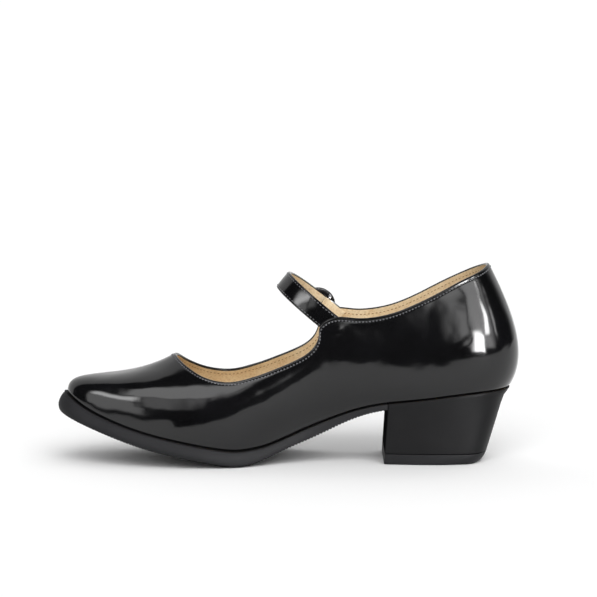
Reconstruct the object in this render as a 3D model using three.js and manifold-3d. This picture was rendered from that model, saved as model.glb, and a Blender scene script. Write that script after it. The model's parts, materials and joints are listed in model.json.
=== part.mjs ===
// Folk dance shoe: a right shoe of black patent leather with a block heel and one buckled instep strap.
// Design axes in millimetres: X runs from the toe tip to the heel, Y from the inner to the outer side
// of the foot, Z up from the floor. The finished group stands on its origin.
import * as THREE from "three";
import { mergeVertices } from "three/addons/utils/BufferGeometryUtils.js";
import Module from "manifold-3d";

const wasm = await Module();
wasm.setup();

// Driving dimensions
const LENGTH = 253; // sole lip to the back of the counter
const BALL_WIDTH = 78; // feather line across the ball
const COUNTER_HEIGHT = 68; // back seam above the feather line
const TOE_SPRING = 25; // underside of the toe above the floor
const SEAT_RISE = 36.7; // underside of the sole line at the back of the heel seat
const FOREPART_EDGE = 8.7; // sole thickness under the ball
const WALL = 1.8; // upper with its lining
const CLEARANCE = 0.3; // gap between pieces that meet

const LIP = 5; // how far the sole edge swells past the upper at the toe
const EDGE_LIFT = 0.5; // how far the tread rises towards the sole edge
const BREAST_AT = 0.714; // front face of the heel, as a share of the length
const INSOLE_THICKNESS = 2;
const INSOLE_ROOM = 1.2; // between the insole's edge and the upper's lining

const HEEL_TIP_HEIGHT = 5.6; // rubber lift
const HEEL_BREAST_PITCH = 2.2; // how far the breast slants forward from seat to floor
const HEEL_BACK_PITCH = 12; // how far the back of the heel slants in from seat to floor
const HEEL_TUCK = 2.2; // how far the back of the heel sets in under the counter
const HEEL_TUCK_REACH = 0.12; // share of the heel's height over which it sets in
const HEEL_SIDE_TAPER = 1.4; // how far each side slants in
const HEEL_SQUARE = 0.5; // how much fuller the back corners are at the floor than at the seat
const HEEL_CORNER = 1.2; // bevel of the two breast corners
const TIP_ROUND = 3; // rounding of the back edge of the lift
const TIP_SIDE_ROUND = 0.45; // rounding of its sides and front

const STRAP_AT = 0.58; // where the strap crosses the topline, as a share of the length
const STRAP_WIDTH = 10.9;
const STRAP_THICKNESS = 2;
const STRAP_SLOPE = 39.3; // degrees by which the strap climbs towards the toe
const STRAP_RISE = 30.6; // how far it climbs over the instep, along its slope
const STRAP_TUCK = 12; // length sewn inside the inner quarter
const STRAP_TAIL = 22; // length of the free end below the outer topline
const STRAP_SLACK = 0.35; // extra room between the strap and the quarters

const BUCKLE_WIDTH = 16.4;
const BUCKLE_LENGTH = 19.4;
const BUCKLE_RAIL = 2.9;
const BUCKLE_THICKNESS = 1.5;
const BUCKLE_AT = 3.6; // middle of the buckle above the outer topline, along the strap
const BAR_OFFSET = -1.3; // bar from the middle of the buckle
const BAR_RADIUS = 0.75;
const PRONG_RADIUS = 0.6;
const PRONG_LEAN = 0.15; // how far the prong leans in its hole
const PRONG_BEND = 1.6; // from the prong's foot to its shoulder
const PRONG_LEVEL = 1; // how far before the rail the prong lies level
const HOLE_RADIUS = 1;
const HOLE_PITCH = 6;
const TAB_WIDTH = 10.4;
const TAB_THICKNESS = 1.4;
const TAB_TUCK = 10; // length sewn inside the outer quarter
const TAB_END = 1.1; // upper end of the tab, from the middle of the buckle
const KEEPER_AT = -13; // keeper from the outer topline, along the strap
const KEEPER_WIDTH = 5;
const KEEPER_THICKNESS = 1.1;

// The upper is a row of ribs from the back seam to the toe, each climbing from the feather line to the
// topline. A row of FEATHER and the same row of TOPLINE are the two ends of one rib. at is a share of
// LENGTH from the toe, in and out are how far the inner and the outer side stand from the middle as
// shares of BALL_WIDTH, leans are degrees away from upright, and pulls are shares of the rib's chord.
const FEATHER = [
  { at: 0.978, in: 0, out: 0, leanIn: 34, leanOut: 34, pull: 0.32 },
  { at: 0.967, in: 0.14, out: 0.14, leanIn: 33, leanOut: 33, pull: 0.32 },
  { at: 0.939, in: 0.244, out: 0.244, leanIn: 30, leanOut: 30, pull: 0.31 },
  { at: 0.893, in: 0.299, out: 0.301, leanIn: 28, leanOut: 27, pull: 0.3 },
  { at: 0.842, in: 0.315, out: 0.32, leanIn: 28, leanOut: 25, pull: 0.3 },
  { at: 0.79, in: 0.307, out: 0.321, leanIn: 30, leanOut: 25, pull: 0.3 },
  { at: 0.739, in: 0.29, out: 0.317, leanIn: 34, leanOut: 25, pull: 0.3 },
  { at: 0.7, in: 0.274, out: 0.315, leanIn: 38, leanOut: 25, pull: 0.3 },
  { at: 0.664, in: 0.257, out: 0.318, leanIn: 42, leanOut: 26, pull: 0.3 },
  { at: 0.636, in: 0.246, out: 0.324, leanIn: 45, leanOut: 26, pull: 0.3 },
  { at: 0.611, in: 0.239, out: 0.331, leanIn: 46, leanOut: 27, pull: 0.3 },
  { at: 0.587, in: 0.236, out: 0.343, leanIn: 46, leanOut: 26, pull: 0.3 },
  { at: 0.557, in: 0.238, out: 0.361, leanIn: 46, leanOut: 25, pull: 0.3 },
  { at: 0.52, in: 0.252, out: 0.392, leanIn: 43, leanOut: 22, pull: 0.3 },
  { at: 0.466, in: 0.304, out: 0.44, leanIn: 34, leanOut: 19, pull: 0.3 },
  { at: 0.403, in: 0.372, out: 0.488, leanIn: 24, leanOut: 15, pull: 0.3 },
  { at: 0.336, in: 0.425, out: 0.501, leanIn: 14, leanOut: 11, pull: 0.3 },
  { at: 0.265, in: 0.428, out: 0.465, leanIn: 7, leanOut: 7, pull: 0.3 },
  { at: 0.198, in: 0.398, out: 0.407, leanIn: 3, leanOut: 3, pull: 0.3 },
  { at: 0.13, in: 0.333, out: 0.335, leanIn: 0, leanOut: 0, pull: 0.3 },
  { at: 0.071, in: 0.24, out: 0.24, leanIn: 0, leanOut: 0, pull: 0.26 },
  { at: 0.035, in: 0.142, out: 0.142, leanIn: 0, leanOut: 0, pull: 0.26 },
  { at: 0.02, in: 0, out: 0, leanIn: 0, leanOut: 0, pull: 0.26 },
];

// Rises are above the feather line, as shares of COUNTER_HEIGHT, and swing is how many degrees the rib
// comes from the heel at its upper end.
const TOPLINE = [
  { at: 0.932, in: 0, out: 0, riseIn: 1.01, riseOut: 1.01, lean: 27, swing: 0, pull: 0.38 },
  { at: 0.926, in: 0.109, out: 0.109, riseIn: 0.997, riseOut: 0.997, lean: 25, swing: 0, pull: 0.37 },
  { at: 0.907, in: 0.205, out: 0.205, riseIn: 0.966, riseOut: 0.966, lean: 19, swing: 0, pull: 0.36 },
  { at: 0.874, in: 0.263, out: 0.267, riseIn: 0.928, riseOut: 0.918, lean: 13, swing: 0, pull: 0.35 },
  { at: 0.824, in: 0.295, out: 0.305, riseIn: 0.857, riseOut: 0.847, lean: 9, swing: 0, pull: 0.33 },
  { at: 0.765, in: 0.313, out: 0.326, riseIn: 0.779, riseOut: 0.761, lean: 6, swing: 0, pull: 0.33 },
  { at: 0.704, in: 0.324, out: 0.34, riseIn: 0.729, riseOut: 0.711, lean: 5, swing: 0, pull: 0.33 },
  { at: 0.652, in: 0.332, out: 0.35, riseIn: 0.751, riseOut: 0.733, lean: 4, swing: 0, pull: 0.33 },
  { at: 0.611, in: 0.337, out: 0.359, riseIn: 0.813, riseOut: 0.795, lean: 4, swing: 6, pull: 0.33 },
  { at: 0.582, in: 0.341, out: 0.362, riseIn: 0.831, riseOut: 0.813, lean: 5, swing: 12, pull: 0.33 },
  { at: 0.566, in: 0.345, out: 0.364, riseIn: 0.796, riseOut: 0.778, lean: 6, swing: 20, pull: 0.33 },
  { at: 0.564, in: 0.35, out: 0.367, riseIn: 0.729, riseOut: 0.711, lean: 6.5, swing: 24, pull: 0.33 },
  { at: 0.551, in: 0.356, out: 0.374, riseIn: 0.651, riseOut: 0.633, lean: 10, swing: 20, pull: 0.33 },
  { at: 0.52, in: 0.364, out: 0.387, riseIn: 0.618, riseOut: 0.6, lean: 18, swing: 9, pull: 0.33 },
  { at: 0.47, in: 0.376, out: 0.4, riseIn: 0.615, riseOut: 0.597, lean: 27, swing: 4, pull: 0.34 },
  { at: 0.417, in: 0.382, out: 0.404, riseIn: 0.594, riseOut: 0.576, lean: 36, swing: 0, pull: 0.35 },
  { at: 0.368, in: 0.371, out: 0.385, riseIn: 0.56, riseOut: 0.542, lean: 42, swing: 0, pull: 0.37 },
  { at: 0.324, in: 0.327, out: 0.333, riseIn: 0.557, riseOut: 0.539, lean: 48, swing: 0, pull: 0.41 },
  { at: 0.294, in: 0.256, out: 0.259, riseIn: 0.585, riseOut: 0.567, lean: 53, swing: 0, pull: 0.46 },
  { at: 0.273, in: 0.174, out: 0.174, riseIn: 0.616, riseOut: 0.606, lean: 57, swing: 0, pull: 0.52 },
  { at: 0.26, in: 0.09, out: 0.09, riseIn: 0.641, riseOut: 0.641, lean: 59, swing: 0, pull: 0.57 },
  { at: 0.2555, in: 0.035, out: 0.035, riseIn: 0.648, riseOut: 0.648, lean: 60, swing: 0, pull: 0.6 },
  { at: 0.2545, in: 0, out: 0, riseIn: 0.649, riseOut: 0.649, lean: 60, swing: 0, pull: 0.6 },
];

// Side profile of the sole: toe and heel are the underside's height as shares of TOE_SPRING and
// SEAT_RISE, and edge is the thickness as a share of FOREPART_EDGE.
const PROFILE = [
  { at: 0, toe: 1.1, heel: 0, edge: 1.4 },
  { at: 0.02, toe: 1, heel: 0, edge: 1.33 },
  { at: 0.05, toe: 0.87, heel: 0, edge: 1.14 },
  { at: 0.1, toe: 0.68, heel: 0, edge: 1 },
  { at: 0.18, toe: 0.405, heel: 0, edge: 1 },
  { at: 0.27, toe: 0.185, heel: 0, edge: 1 },
  { at: 0.35, toe: 0.02, heel: 0, edge: 1.02 },
  { at: 0.385, toe: -0.03, heel: 0, edge: 1.03 },
  { at: 0.415, toe: 0, heel: 0, edge: 0.98 },
  { at: 0.44, toe: 0, heel: 0.055, edge: 0.86 },
  { at: 0.483, toe: 0, heel: 0.18, edge: 0.74 },
  { at: 0.526, toe: 0, heel: 0.3, edge: 0.75 },
  { at: 0.569, toe: 0, heel: 0.43, edge: 0.72 },
  { at: 0.611, toe: 0, heel: 0.572, edge: 0.6 },
  { at: 0.654, toe: 0, heel: 0.698, edge: 0.48 },
  { at: 0.7, toe: 0, heel: 0.787, edge: 0.41 },
  { at: 0.78, toe: 0, heel: 0.858, edge: 0.4 },
  { at: 0.87, toe: 0, heel: 0.94, edge: 0.4 },
  { at: 0.98, toe: 0, heel: 1, edge: 0.4 },
];

// How far the sole edge stands past the feather line, as a share of LIP
const MARGIN = [
  { at: 0, lip: 1 },
  { at: 0.05, lip: 0.95 },
  { at: 0.15, lip: 0.7 },
  { at: 0.3, lip: 0.55 },
  { at: 0.42, lip: 0.45 },
  { at: 0.52, lip: 0.22 },
  { at: 0.62, lip: 0.14 },
  { at: 0.72, lip: 0.12 },
  { at: 1, lip: 0.12 },
];

// Rounded edge of the sole: out is a share of the margin and up a share of the thickness
const SOLE_EDGE = [
  { out: 0.3, up: 1 },
  { out: 0.78, up: 0.84 },
  { out: 1, up: 0.5 },
  { out: 0.84, up: 0.22 },
  { out: 0.35, up: 0.06 },
];

// Interpolation

const SPLINE_SWEEPS = 80;

// Values through which a curve with even curvature runs; the knots of a closed one end at its period
function smoothSpline(knots, values, closed) {
  const count = values.length;
  const bend = new Array(count).fill(0);
  const wrap = (i) => (i + count) % count;
  const span = (i) => knots[wrap(i) + 1] - knots[wrap(i)];
  const slope = (i) => (values[wrap(i + 1)] - values[wrap(i)]) / span(i);
  const first = closed ? 0 : 1;
  const last = closed ? count - 1 : count - 2;
  for (let sweep = 0; sweep < SPLINE_SWEEPS; sweep++) {
    for (let i = first; i <= last; i++) {
      const before = span(i - 1);
      const after = span(i);
      const turn = 6 * (slope(i) - slope(i - 1));
      const pull = turn - before * bend[wrap(i - 1)] - after * bend[wrap(i + 1)];
      bend[i] = pull / (2 * (before + after));
    }
  }
  const segments = closed ? count : count - 1;
  return (at) => {
    let place = at;
    if (closed) {
      const period = knots[count];
      place = ((at % period) + period) % period;
    }
    let i = 0;
    while (i < segments - 1 && place > knots[i + 1]) i++;
    const h = span(i);
    const b = (place - knots[i]) / h;
    const a = 1 - b;
    const low = a * values[i] + b * values[wrap(i + 1)];
    return low + (((a ** 3 - a) * bend[i] + (b ** 3 - b) * bend[wrap(i + 1)]) * h * h) / 6;
  };
}

function columnSpline(rows, column) {
  return smoothSpline(rows.map((row) => row.at), rows.map((row) => row[column]), false);
}

const toeShare = columnSpline(PROFILE, "toe");
const heelShare = columnSpline(PROFILE, "heel");
const edgeShare = columnSpline(PROFILE, "edge");
const lipShare = columnSpline(MARGIN, "lip");

// Underside of the sole on the centre line; the ball stands on a short flat
function treadHeight(x) {
  const share = x / LENGTH;
  return Math.max(0, toeShare(share) * TOE_SPRING + heelShare(share) * SEAT_RISE);
}

// Upper face of the sole and of the heel seat, on which the upper and the insole stand
function seatHeight(x) {
  const share = x / LENGTH;
  return toeShare(share) * TOE_SPRING + heelShare(share) * SEAT_RISE + edgeShare(share) * FOREPART_EDGE;
}

function soleMargin(x) {
  return lipShare(x / LENGTH) * LIP;
}

// The ribs once round the shoe: along the inner side to the toe, and back along the outer side
function ribsRound() {
  const inner = FEATHER.map((foot, i) => {
    const top = TOPLINE[i];
    return { foot, top, side: -1, wide: foot.in, topWide: top.in, rise: top.riseIn, lean: foot.leanIn };
  });
  const outer = inner.slice(1, -1).map(({ foot, top }) => {
    return { foot, top, side: 1, wide: foot.out, topWide: top.out, rise: top.riseOut, lean: foot.leanOut };
  });
  return [...inner, ...outer.reverse()];
}

function roundSplines() {
  const ribs = ribsRound();
  const knots = [0];
  ribs.forEach((rib, i) => {
    const next = ribs[(i + 1) % ribs.length];
    const along = (next.foot.at - rib.foot.at) * LENGTH;
    const across = (next.side * next.wide - rib.side * rib.wide) * BALL_WIDTH;
    knots.push(knots[i] + Math.hypot(along, across));
  });
  const spline = (value) => smoothSpline(knots, ribs.map(value), true);
  const { degToRad } = THREE.MathUtils;
  return {
    period: knots[ribs.length],
    toe: knots[FEATHER.length - 1],
    footX: spline((rib) => rib.foot.at * LENGTH),
    footY: spline((rib) => rib.side * rib.wide * BALL_WIDTH),
    footPull: spline((rib) => rib.foot.pull),
    lean: spline((rib) => degToRad(rib.lean)),
    topX: spline((rib) => rib.top.at * LENGTH),
    topY: spline((rib) => rib.side * rib.topWide * BALL_WIDTH),
    topPull: spline((rib) => rib.top.pull),
    topLean: spline((rib) => degToRad(rib.top.lean)),
    swing: spline((rib) => degToRad(rib.top.swing)),
    rise: spline((rib) => rib.rise * COUNTER_HEIGHT),
  };
}

const ROUND = roundSplines();

// Outward direction of the feather line, level with the floor
function outwardAt(round) {
  const step = 0.05;
  const along = ROUND.footX(round + step) - ROUND.footX(round - step);
  const across = ROUND.footY(round + step) - ROUND.footY(round - step);
  return new THREE.Vector3(-across, along, 0).normalize();
}

function footPoint(round) {
  const x = ROUND.footX(round);
  return new THREE.Vector3(x, ROUND.footY(round), seatHeight(x));
}

function topPoint(round) {
  const x = ROUND.topX(round);
  return new THREE.Vector3(x, ROUND.topY(round), seatHeight(x) + ROUND.rise(round));
}

function ribCurve(round) {
  const foot = footPoint(round).add(new THREE.Vector3(0, 0, CLEARANCE));
  const top = topPoint(round);
  const outward = outwardAt(round);
  const chord = foot.distanceTo(top);
  const lean = ROUND.lean(round);
  const topLean = ROUND.topLean(round);
  const rising = outward.clone().multiplyScalar(Math.sin(lean));
  rising.z = Math.cos(lean);
  const swing = ROUND.swing(round);
  const falling = outward.clone().multiplyScalar(Math.sin(topLean));
  falling.x += Math.sin(swing) * Math.cos(topLean);
  falling.z = -Math.cos(swing) * Math.cos(topLean);
  return new THREE.CubicBezierCurve3(
    foot,
    foot.clone().addScaledVector(rising, chord * ROUND.footPull(round)),
    top.clone().addScaledVector(falling, chord * ROUND.topPull(round)),
    top,
  );
}

// Point of the upper's outer face, or of the face that lies depth millimetres inside it
function upperPoint(round, climb, depth = 0) {
  const point = ribCurve(round).getPoint(climb);
  if (depth === 0) return point;
  const step = 0.02;
  const before = ribCurve(round - 0.4).getPoint(climb);
  const after = ribCurve(round + 0.4).getPoint(climb);
  const low = ribCurve(round).getPoint(Math.max(0, climb - step));
  const high = ribCurve(round).getPoint(Math.min(1, climb + step));
  const inward = after.sub(before).cross(high.sub(low)).normalize();
  return point.addScaledVector(inward, depth);
}

// Meshes

// Six times the volume that the triangles enclose, negative where they face inwards
function signedVolume(position, index) {
  const [a, b, c] = [new THREE.Vector3(), new THREE.Vector3(), new THREE.Vector3()];
  let sum = 0;
  for (let i = 0; i < index.length; i += 3) {
    a.fromBufferAttribute(position, index[i]);
    b.fromBufferAttribute(position, index[i + 1]);
    c.fromBufferAttribute(position, index[i + 2]);
    sum += a.dot(b.cross(c));
  }
  return sum;
}

function finishGeometry(points, triangles) {
  const geometry = new THREE.BufferGeometry();
  const places = points.flatMap((p) => [p.x, p.y, p.z]);
  geometry.setAttribute("position", new THREE.Float32BufferAttribute(places, 3));
  geometry.setIndex(triangles.flat());
  const merged = mergeVertices(geometry, 1e-3);
  const index = merged.index.array;
  const kept = [];
  for (let i = 0; i < index.length; i += 3) {
    const [a, b, c] = [index[i], index[i + 1], index[i + 2]];
    if (a !== b && b !== c && c !== a) kept.push(a, b, c);
  }
  if (signedVolume(merged.attributes.position, kept) < 0) kept.reverse();
  merged.setIndex(kept);
  merged.computeVertexNormals();
  return merged;
}

// Closed rings of equal count joined one after another; an open row of rings gets a cap at each end
function loft(rings, closed) {
  const size = rings[0].length;
  const points = rings.flat();
  const triangles = [];
  const steps = closed ? rings.length : rings.length - 1;
  for (let i = 0; i < steps; i++) {
    const here = i * size;
    const there = ((i + 1) % rings.length) * size;
    for (let j = 0; j < size; j++) {
      const next = (j + 1) % size;
      triangles.push([here + j, there + j, there + next]);
      triangles.push([here + j, there + next, here + next]);
    }
  }
  if (!closed) {
    capRing(points, rings[0], 0, triangles, false);
    capRing(points, rings[rings.length - 1], (rings.length - 1) * size, triangles, true);
  }
  return finishGeometry(points, triangles);
}

function capRing(points, ring, offset, triangles, facing) {
  const centre = ring.reduce((sum, p) => sum.add(p), new THREE.Vector3()).divideScalar(ring.length);
  const spread = Math.max(...ring.map((p) => p.distanceTo(ring[0])));
  if (spread < 1e-3) return;
  points.push(centre);
  const hub = points.length - 1;
  ring.forEach((_, j) => {
    const next = (j + 1) % ring.length;
    triangles.push(facing ? [offset + j, hub, offset + next] : [offset + j, offset + next, hub]);
  });
}

function piece(name, geometry, finish) {
  const mesh = new THREE.Mesh(geometry, new THREE.MeshStandardMaterial(finish));
  mesh.name = name;
  return mesh;
}

const PATENT = { color: "#141415", roughness: 0.12, metalness: 0 };
const SOLE_RUBBER = { color: "#29292b", roughness: 0.75, metalness: 0 };
const HEEL_LACQUER = { color: "#222223", roughness: 0.4, metalness: 0 };
const BLACK_ENAMEL = { color: "#17171a", roughness: 0.25, metalness: 0.2 };
const BRIGHT_METAL = { color: "#d6d7da", roughness: 0.2, metalness: 1 };
const LINING = { color: "#d3b98e", roughness: 0.8, metalness: 0 };

// Upper
const UPPER_ROUND = 100; // places round the shoe
const UPPER_CLIMB = 13; // steps up each rib

function upperGeometry() {
  const rings = [];
  for (let i = 0; i < UPPER_ROUND; i++) {
    const round = (i / UPPER_ROUND) * ROUND.period;
    const ring = [];
    for (let j = 0; j <= UPPER_CLIMB; j++) ring.push(upperPoint(round, j / UPPER_CLIMB));
    for (let j = UPPER_CLIMB; j >= 0; j--) ring.push(upperPoint(round, j / UPPER_CLIMB, WALL));
    rings.push(ring);
  }
  return loft(rings, true);
}

// The outer side's place at the same length as a place on the inner side
function oppositeRound(inner) {
  const target = ROUND.footX(inner);
  let low = ROUND.toe;
  let high = ROUND.period;
  for (let i = 0; i < 40; i++) {
    const middle = (low + high) / 2;
    if (ROUND.footX(middle) < target) low = middle;
    else high = middle;
  }
  return (low + high) / 2;
}

// Place round the inner side that lies at x
function innerRoundAt(x) {
  let low = 0;
  let high = ROUND.toe;
  for (let i = 0; i < 40; i++) {
    const middle = (low + high) / 2;
    if (ROUND.footX(middle) > x) low = middle;
    else high = middle;
  }
  return (low + high) / 2;
}

function edgePoint(round, out) {
  const point = footPoint(round);
  point.z = 0;
  return point.addScaledVector(outwardAt(round), out);
}

// One section across the sole or heel: top and bottom lines and the two side edges
function crossSection(inner, outer, columns, topZ, bottomZ, side) {
  const ring = [];
  const innerEdge = side(inner);
  const outerEdge = side(outer);
  const [topIn, topOut] = [innerEdge[0], outerEdge[0]];
  const [lowIn, lowOut] = [innerEdge[innerEdge.length - 1], outerEdge[outerEdge.length - 1]];
  for (let j = 0; j <= columns; j++) {
    const p = topIn.clone().lerp(topOut, j / columns);
    ring.push(j === 0 || j === columns ? p : p.setZ(topZ(p)));
  }
  for (let k = 1; k < outerEdge.length; k++) ring.push(outerEdge[k]);
  for (let j = columns - 1; j > 0; j--) {
    const p = lowIn.clone().lerp(lowOut, j / columns);
    ring.push(p.setZ(bottomZ(p)));
  }
  for (let k = innerEdge.length - 1; k > 0; k--) ring.push(innerEdge[k]);
  return ring;
}

// Outsole
const SOLE_STEPS = 44; // sections along the sole
const SOLE_COLUMNS = 6; // strips across each section

function soleEdge(round) {
  const x = ROUND.footX(round);
  const margin = soleMargin(x);
  const thick = edgeShare(x / LENGTH) * FOREPART_EDGE;
  return SOLE_EDGE.map(({ out, up }) => {
    const p = edgePoint(round, out * margin);
    const drop = (1 - up) * (thick - EDGE_LIFT * (thick / FOREPART_EDGE));
    p.z = seatHeight(up === 1 ? p.x : x) - drop;
    return p;
  });
}

function outsoleGeometry() {
  const start = innerRoundAt(BREAST_AT * LENGTH - CLEARANCE);
  const top = (p) => seatHeight(p.x);
  const tread = (p) => treadHeight(p.x);
  const rings = [];
  for (let i = 0; i <= SOLE_STEPS; i++) {
    const inner = start + ((ROUND.toe - start) * i) / SOLE_STEPS;
    const outer = i === SOLE_STEPS ? ROUND.toe : oppositeRound(inner);
    rings.push(crossSection(inner, outer, SOLE_COLUMNS, top, tread, soleEdge));
  }
  return loft(rings, false);
}

// Insole board and sock
const INSOLE_STEPS = 40;

function insoleEdge(round) {
  const inset = -(WALL + CLEARANCE + INSOLE_ROOM);
  const low = edgePoint(round, inset);
  low.z = seatHeight(low.x) + CLEARANCE;
  const high = low.clone();
  high.z += INSOLE_THICKNESS;
  return [high, low];
}

function insoleGeometry() {
  const rings = [];
  const bottom = (p) => seatHeight(p.x) + CLEARANCE;
  const top = (p) => bottom(p) + INSOLE_THICKNESS;
  for (let i = 0; i <= INSOLE_STEPS; i++) {
    const inner = (ROUND.toe * i) / INSOLE_STEPS;
    const middle = i === 0 || i === INSOLE_STEPS;
    const outer = middle ? ROUND.period - inner : oppositeRound(inner);
    rings.push(crossSection(inner, outer, SOLE_COLUMNS, top, bottom, insoleEdge));
  }
  return loft(rings, false);
}

// Heel block and rubber lift
const HEEL_STEPS = 16; // sections from the breast to the back

// Outline of the heel at a share of the way down from the seat
function heelPoint(round, down, inset) {
  const point = edgePoint(round, soleMargin(LENGTH) - inset);
  const breast = BREAST_AT * LENGTH;
  const back = ROUND.footX(0) - breast;
  const along = (point.x - breast) / back;
  point.x -= (HEEL_BREAST_PITCH + along * (HEEL_BACK_PITCH - HEEL_BREAST_PITCH)) * down;
  point.x -= HEEL_TUCK * along ** 3 * Math.min(1, down / HEEL_TUCK_REACH);
  point.y *= 1 + HEEL_SQUARE * along ** 6 * down;
  point.y -= Math.sign(point.y) * Math.min(Math.abs(point.y) / 20, 1) * HEEL_SIDE_TAPER * down;
  return point;
}

function heelGeometry(levels) {
  const breastRound = innerRoundAt(BREAST_AT * LENGTH);
  const rings = [];
  const section = (inner, outer, corner) => {
    const side = (round) => levels.map(({ z, inset }) => {
      const p = heelPoint(round, 0, 0);
      const share = 1 - z(p) / seatHeight(p.x);
      const q = heelPoint(round, share, inset(p) + corner);
      q.z = z(q);
      return q;
    });
    const top = levels[0];
    const low = levels[levels.length - 1];
    return crossSection(inner, outer, SOLE_COLUMNS, (p) => top.z(p), (p) => low.z(p), side);
  };
  rings.push(section(breastRound, oppositeRound(breastRound), HEEL_CORNER));
  for (let i = 0; i <= HEEL_STEPS; i++) {
    const start = innerRoundAt(BREAST_AT * LENGTH + HEEL_CORNER);
    const inner = start * (1 - i / HEEL_STEPS);
    rings.push(section(inner, i === HEEL_STEPS ? ROUND.period : oppositeRound(inner), 0));
  }
  return loft(rings.reverse(), false);
}

function backness(p) {
  const breast = BREAST_AT * LENGTH;
  return THREE.MathUtils.clamp((p.x - breast) / (ROUND.footX(0) - breast), 0, 1) ** 3;
}

// Levels of the heel block, as shares of the way down from the seat
const HEEL_LEVELS = [{ down: 0 }, { down: HEEL_TUCK_REACH }, { down: 0.4 }, { down: 0.7 }, { down: 1 }];

function heelBlockGeometry() {
  const base = HEEL_TIP_HEIGHT + CLEARANCE;
  const level = (share) => ({
    z: (p) => seatHeight(p.x) + (base - seatHeight(p.x)) * share,
    inset: () => 0,
  });
  return heelGeometry(HEEL_LEVELS.map(({ down }) => level(down)));
}

// Levels of the lift: height is a share of HEEL_TIP_HEIGHT and inset a share of the rounding
const TIP_LEVELS = [
  { height: 1, inset: 0 },
  { height: 0.6, inset: 0.12 },
  { height: 0.22, inset: 0.5 },
  { height: 0, inset: 1 },
];

function topPieceGeometry() {
  return heelGeometry(TIP_LEVELS.map(({ height, inset }) => ({
    z: () => height * HEEL_TIP_HEIGHT,
    inset: (p) => inset * (TIP_SIDE_ROUND + (TIP_ROUND - TIP_SIDE_ROUND) * backness(p)),
  })));
}

// Strap, in its own slanted plane: span runs across the shoe and climb up the slope towards the toe
const SLOPE = THREE.MathUtils.degToRad(STRAP_SLOPE);
const CLIMBING = new THREE.Vector3(-Math.cos(SLOPE), 0, Math.sin(SLOPE));
const ACROSS = new THREE.Vector3(Math.sin(SLOPE), 0, Math.cos(SLOPE));

// Place round the shoe, from start to end, where the topline is at x
function toplineRound(x, start, end) {
  let best = start;
  for (let i = 0; i <= 400; i++) {
    const round = start + ((end - start) * i) / 400;
    if (Math.abs(ROUND.topX(round) - x) < Math.abs(ROUND.topX(best) - x)) best = round;
  }
  return best;
}

const STRAP_BASE = (() => {
  const x = STRAP_AT * LENGTH;
  const seat = topPoint(toplineRound(x, 0, innerRoundAt(x - STRAP_WIDTH)));
  return new THREE.Vector3(x, 0, seat.z);
})();

function strapPlace(span, climb, across = 0) {
  const place = STRAP_BASE.clone().addScaledVector(CLIMBING, climb).addScaledVector(ACROSS, across);
  place.y = span;
  return place;
}

// How far the upper's outer face stands from the middle plane at a point of its side view; above the
// topline it goes on straight up
function wallSpan(x, z, side) {
  const first = side < 0 ? innerRoundAt(x) : oppositeRound(innerRoundAt(x));
  let round = first;
  let climb = 0.7;
  for (let i = 0; i < 30; i++) {
    const here = ribCurve(round).getPoint(climb);
    const along = ribCurve(round + 0.5).getPoint(climb).sub(here).divideScalar(0.5);
    const up = ribCurve(round).getPoint(climb - 0.01).sub(here).divideScalar(-0.01);
    const [dx, dz] = [x - here.x, z - here.z];
    const scale = along.x * up.z - along.z * up.x;
    round += THREE.MathUtils.clamp((dx * up.z - dz * up.x) / scale, -6, 6);
    climb = THREE.MathUtils.clamp(climb + (along.x * dz - along.z * dx) / scale, 0.3, 1);
  }
  return Math.abs(ribCurve(round).getPoint(climb).y);
}

// Arch of the strap over the instep: span is a share of the way from the middle to the quarter on that
// side, inner side first, and climb a share of STRAP_RISE.
const ARCH = [
  { span: -0.97, climb: 0.24 },
  { span: -0.83, climb: 0.53 },
  { span: -0.54, climb: 0.8 },
  { span: -0.16, climb: 0.95 },
  { span: 0.16, climb: 0.955 },
  { span: 0.5, climb: 0.82 },
  { span: 0.73, climb: 0.61 },
  { span: 0.86, climb: 0.4 },
  { span: 0.94, climb: 0.2 },
];

// The line midway through the strap's thickness, from the end sewn inside to the free end
function strapLine() {
  const half = STRAP_THICKNESS / 2 + CLEARANCE + STRAP_SLACK;
  const inside = (climb) => {
    const p = strapPlace(0, climb);
    return strapPlace(-(wallSpan(p.x, p.z, -1) - WALL - half), climb);
  };
  const outside = (climb) => {
    const p = strapPlace(0, climb);
    return strapPlace(wallSpan(p.x, p.z, 1) + half, climb);
  };
  const innerSpan = -inside(0).y;
  const outerSpan = outside(0).y;
  const points = [inside(-STRAP_TUCK), inside(-STRAP_TUCK / 2), inside(0)];
  for (const { span, climb } of ARCH) {
    points.push(strapPlace(span * (span < 0 ? innerSpan : outerSpan), climb * STRAP_RISE));
  }
  for (const share of [0, 0.3, 0.65, 1]) points.push(outside(-STRAP_TAIL * share));
  return new THREE.CatmullRomCurve3(points, false, "centripetal");
}

const STRAP_LINE = strapLine();

// Share of the strap's line at which it stands climb above the topline, on the outer side
function strapShare(climb) {
  let low = 0.55;
  let high = 1;
  for (let i = 0; i < 40; i++) {
    const middle = (low + high) / 2;
    const height = STRAP_LINE.getPointAt(middle).sub(STRAP_BASE).dot(CLIMBING);
    if (height > climb) low = middle;
    else high = middle;
  }
  return (low + high) / 2;
}

// Directions at a share of the strap's line: up the strap on the outer side, and out from its face
function strapFrame(share) {
  const origin = STRAP_LINE.getPointAt(share);
  const up = STRAP_LINE.getTangentAt(share).negate();
  const out = up.clone().cross(ACROSS).normalize();
  if (out.y < 0) out.negate();
  return { origin, up, out };
}

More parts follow.
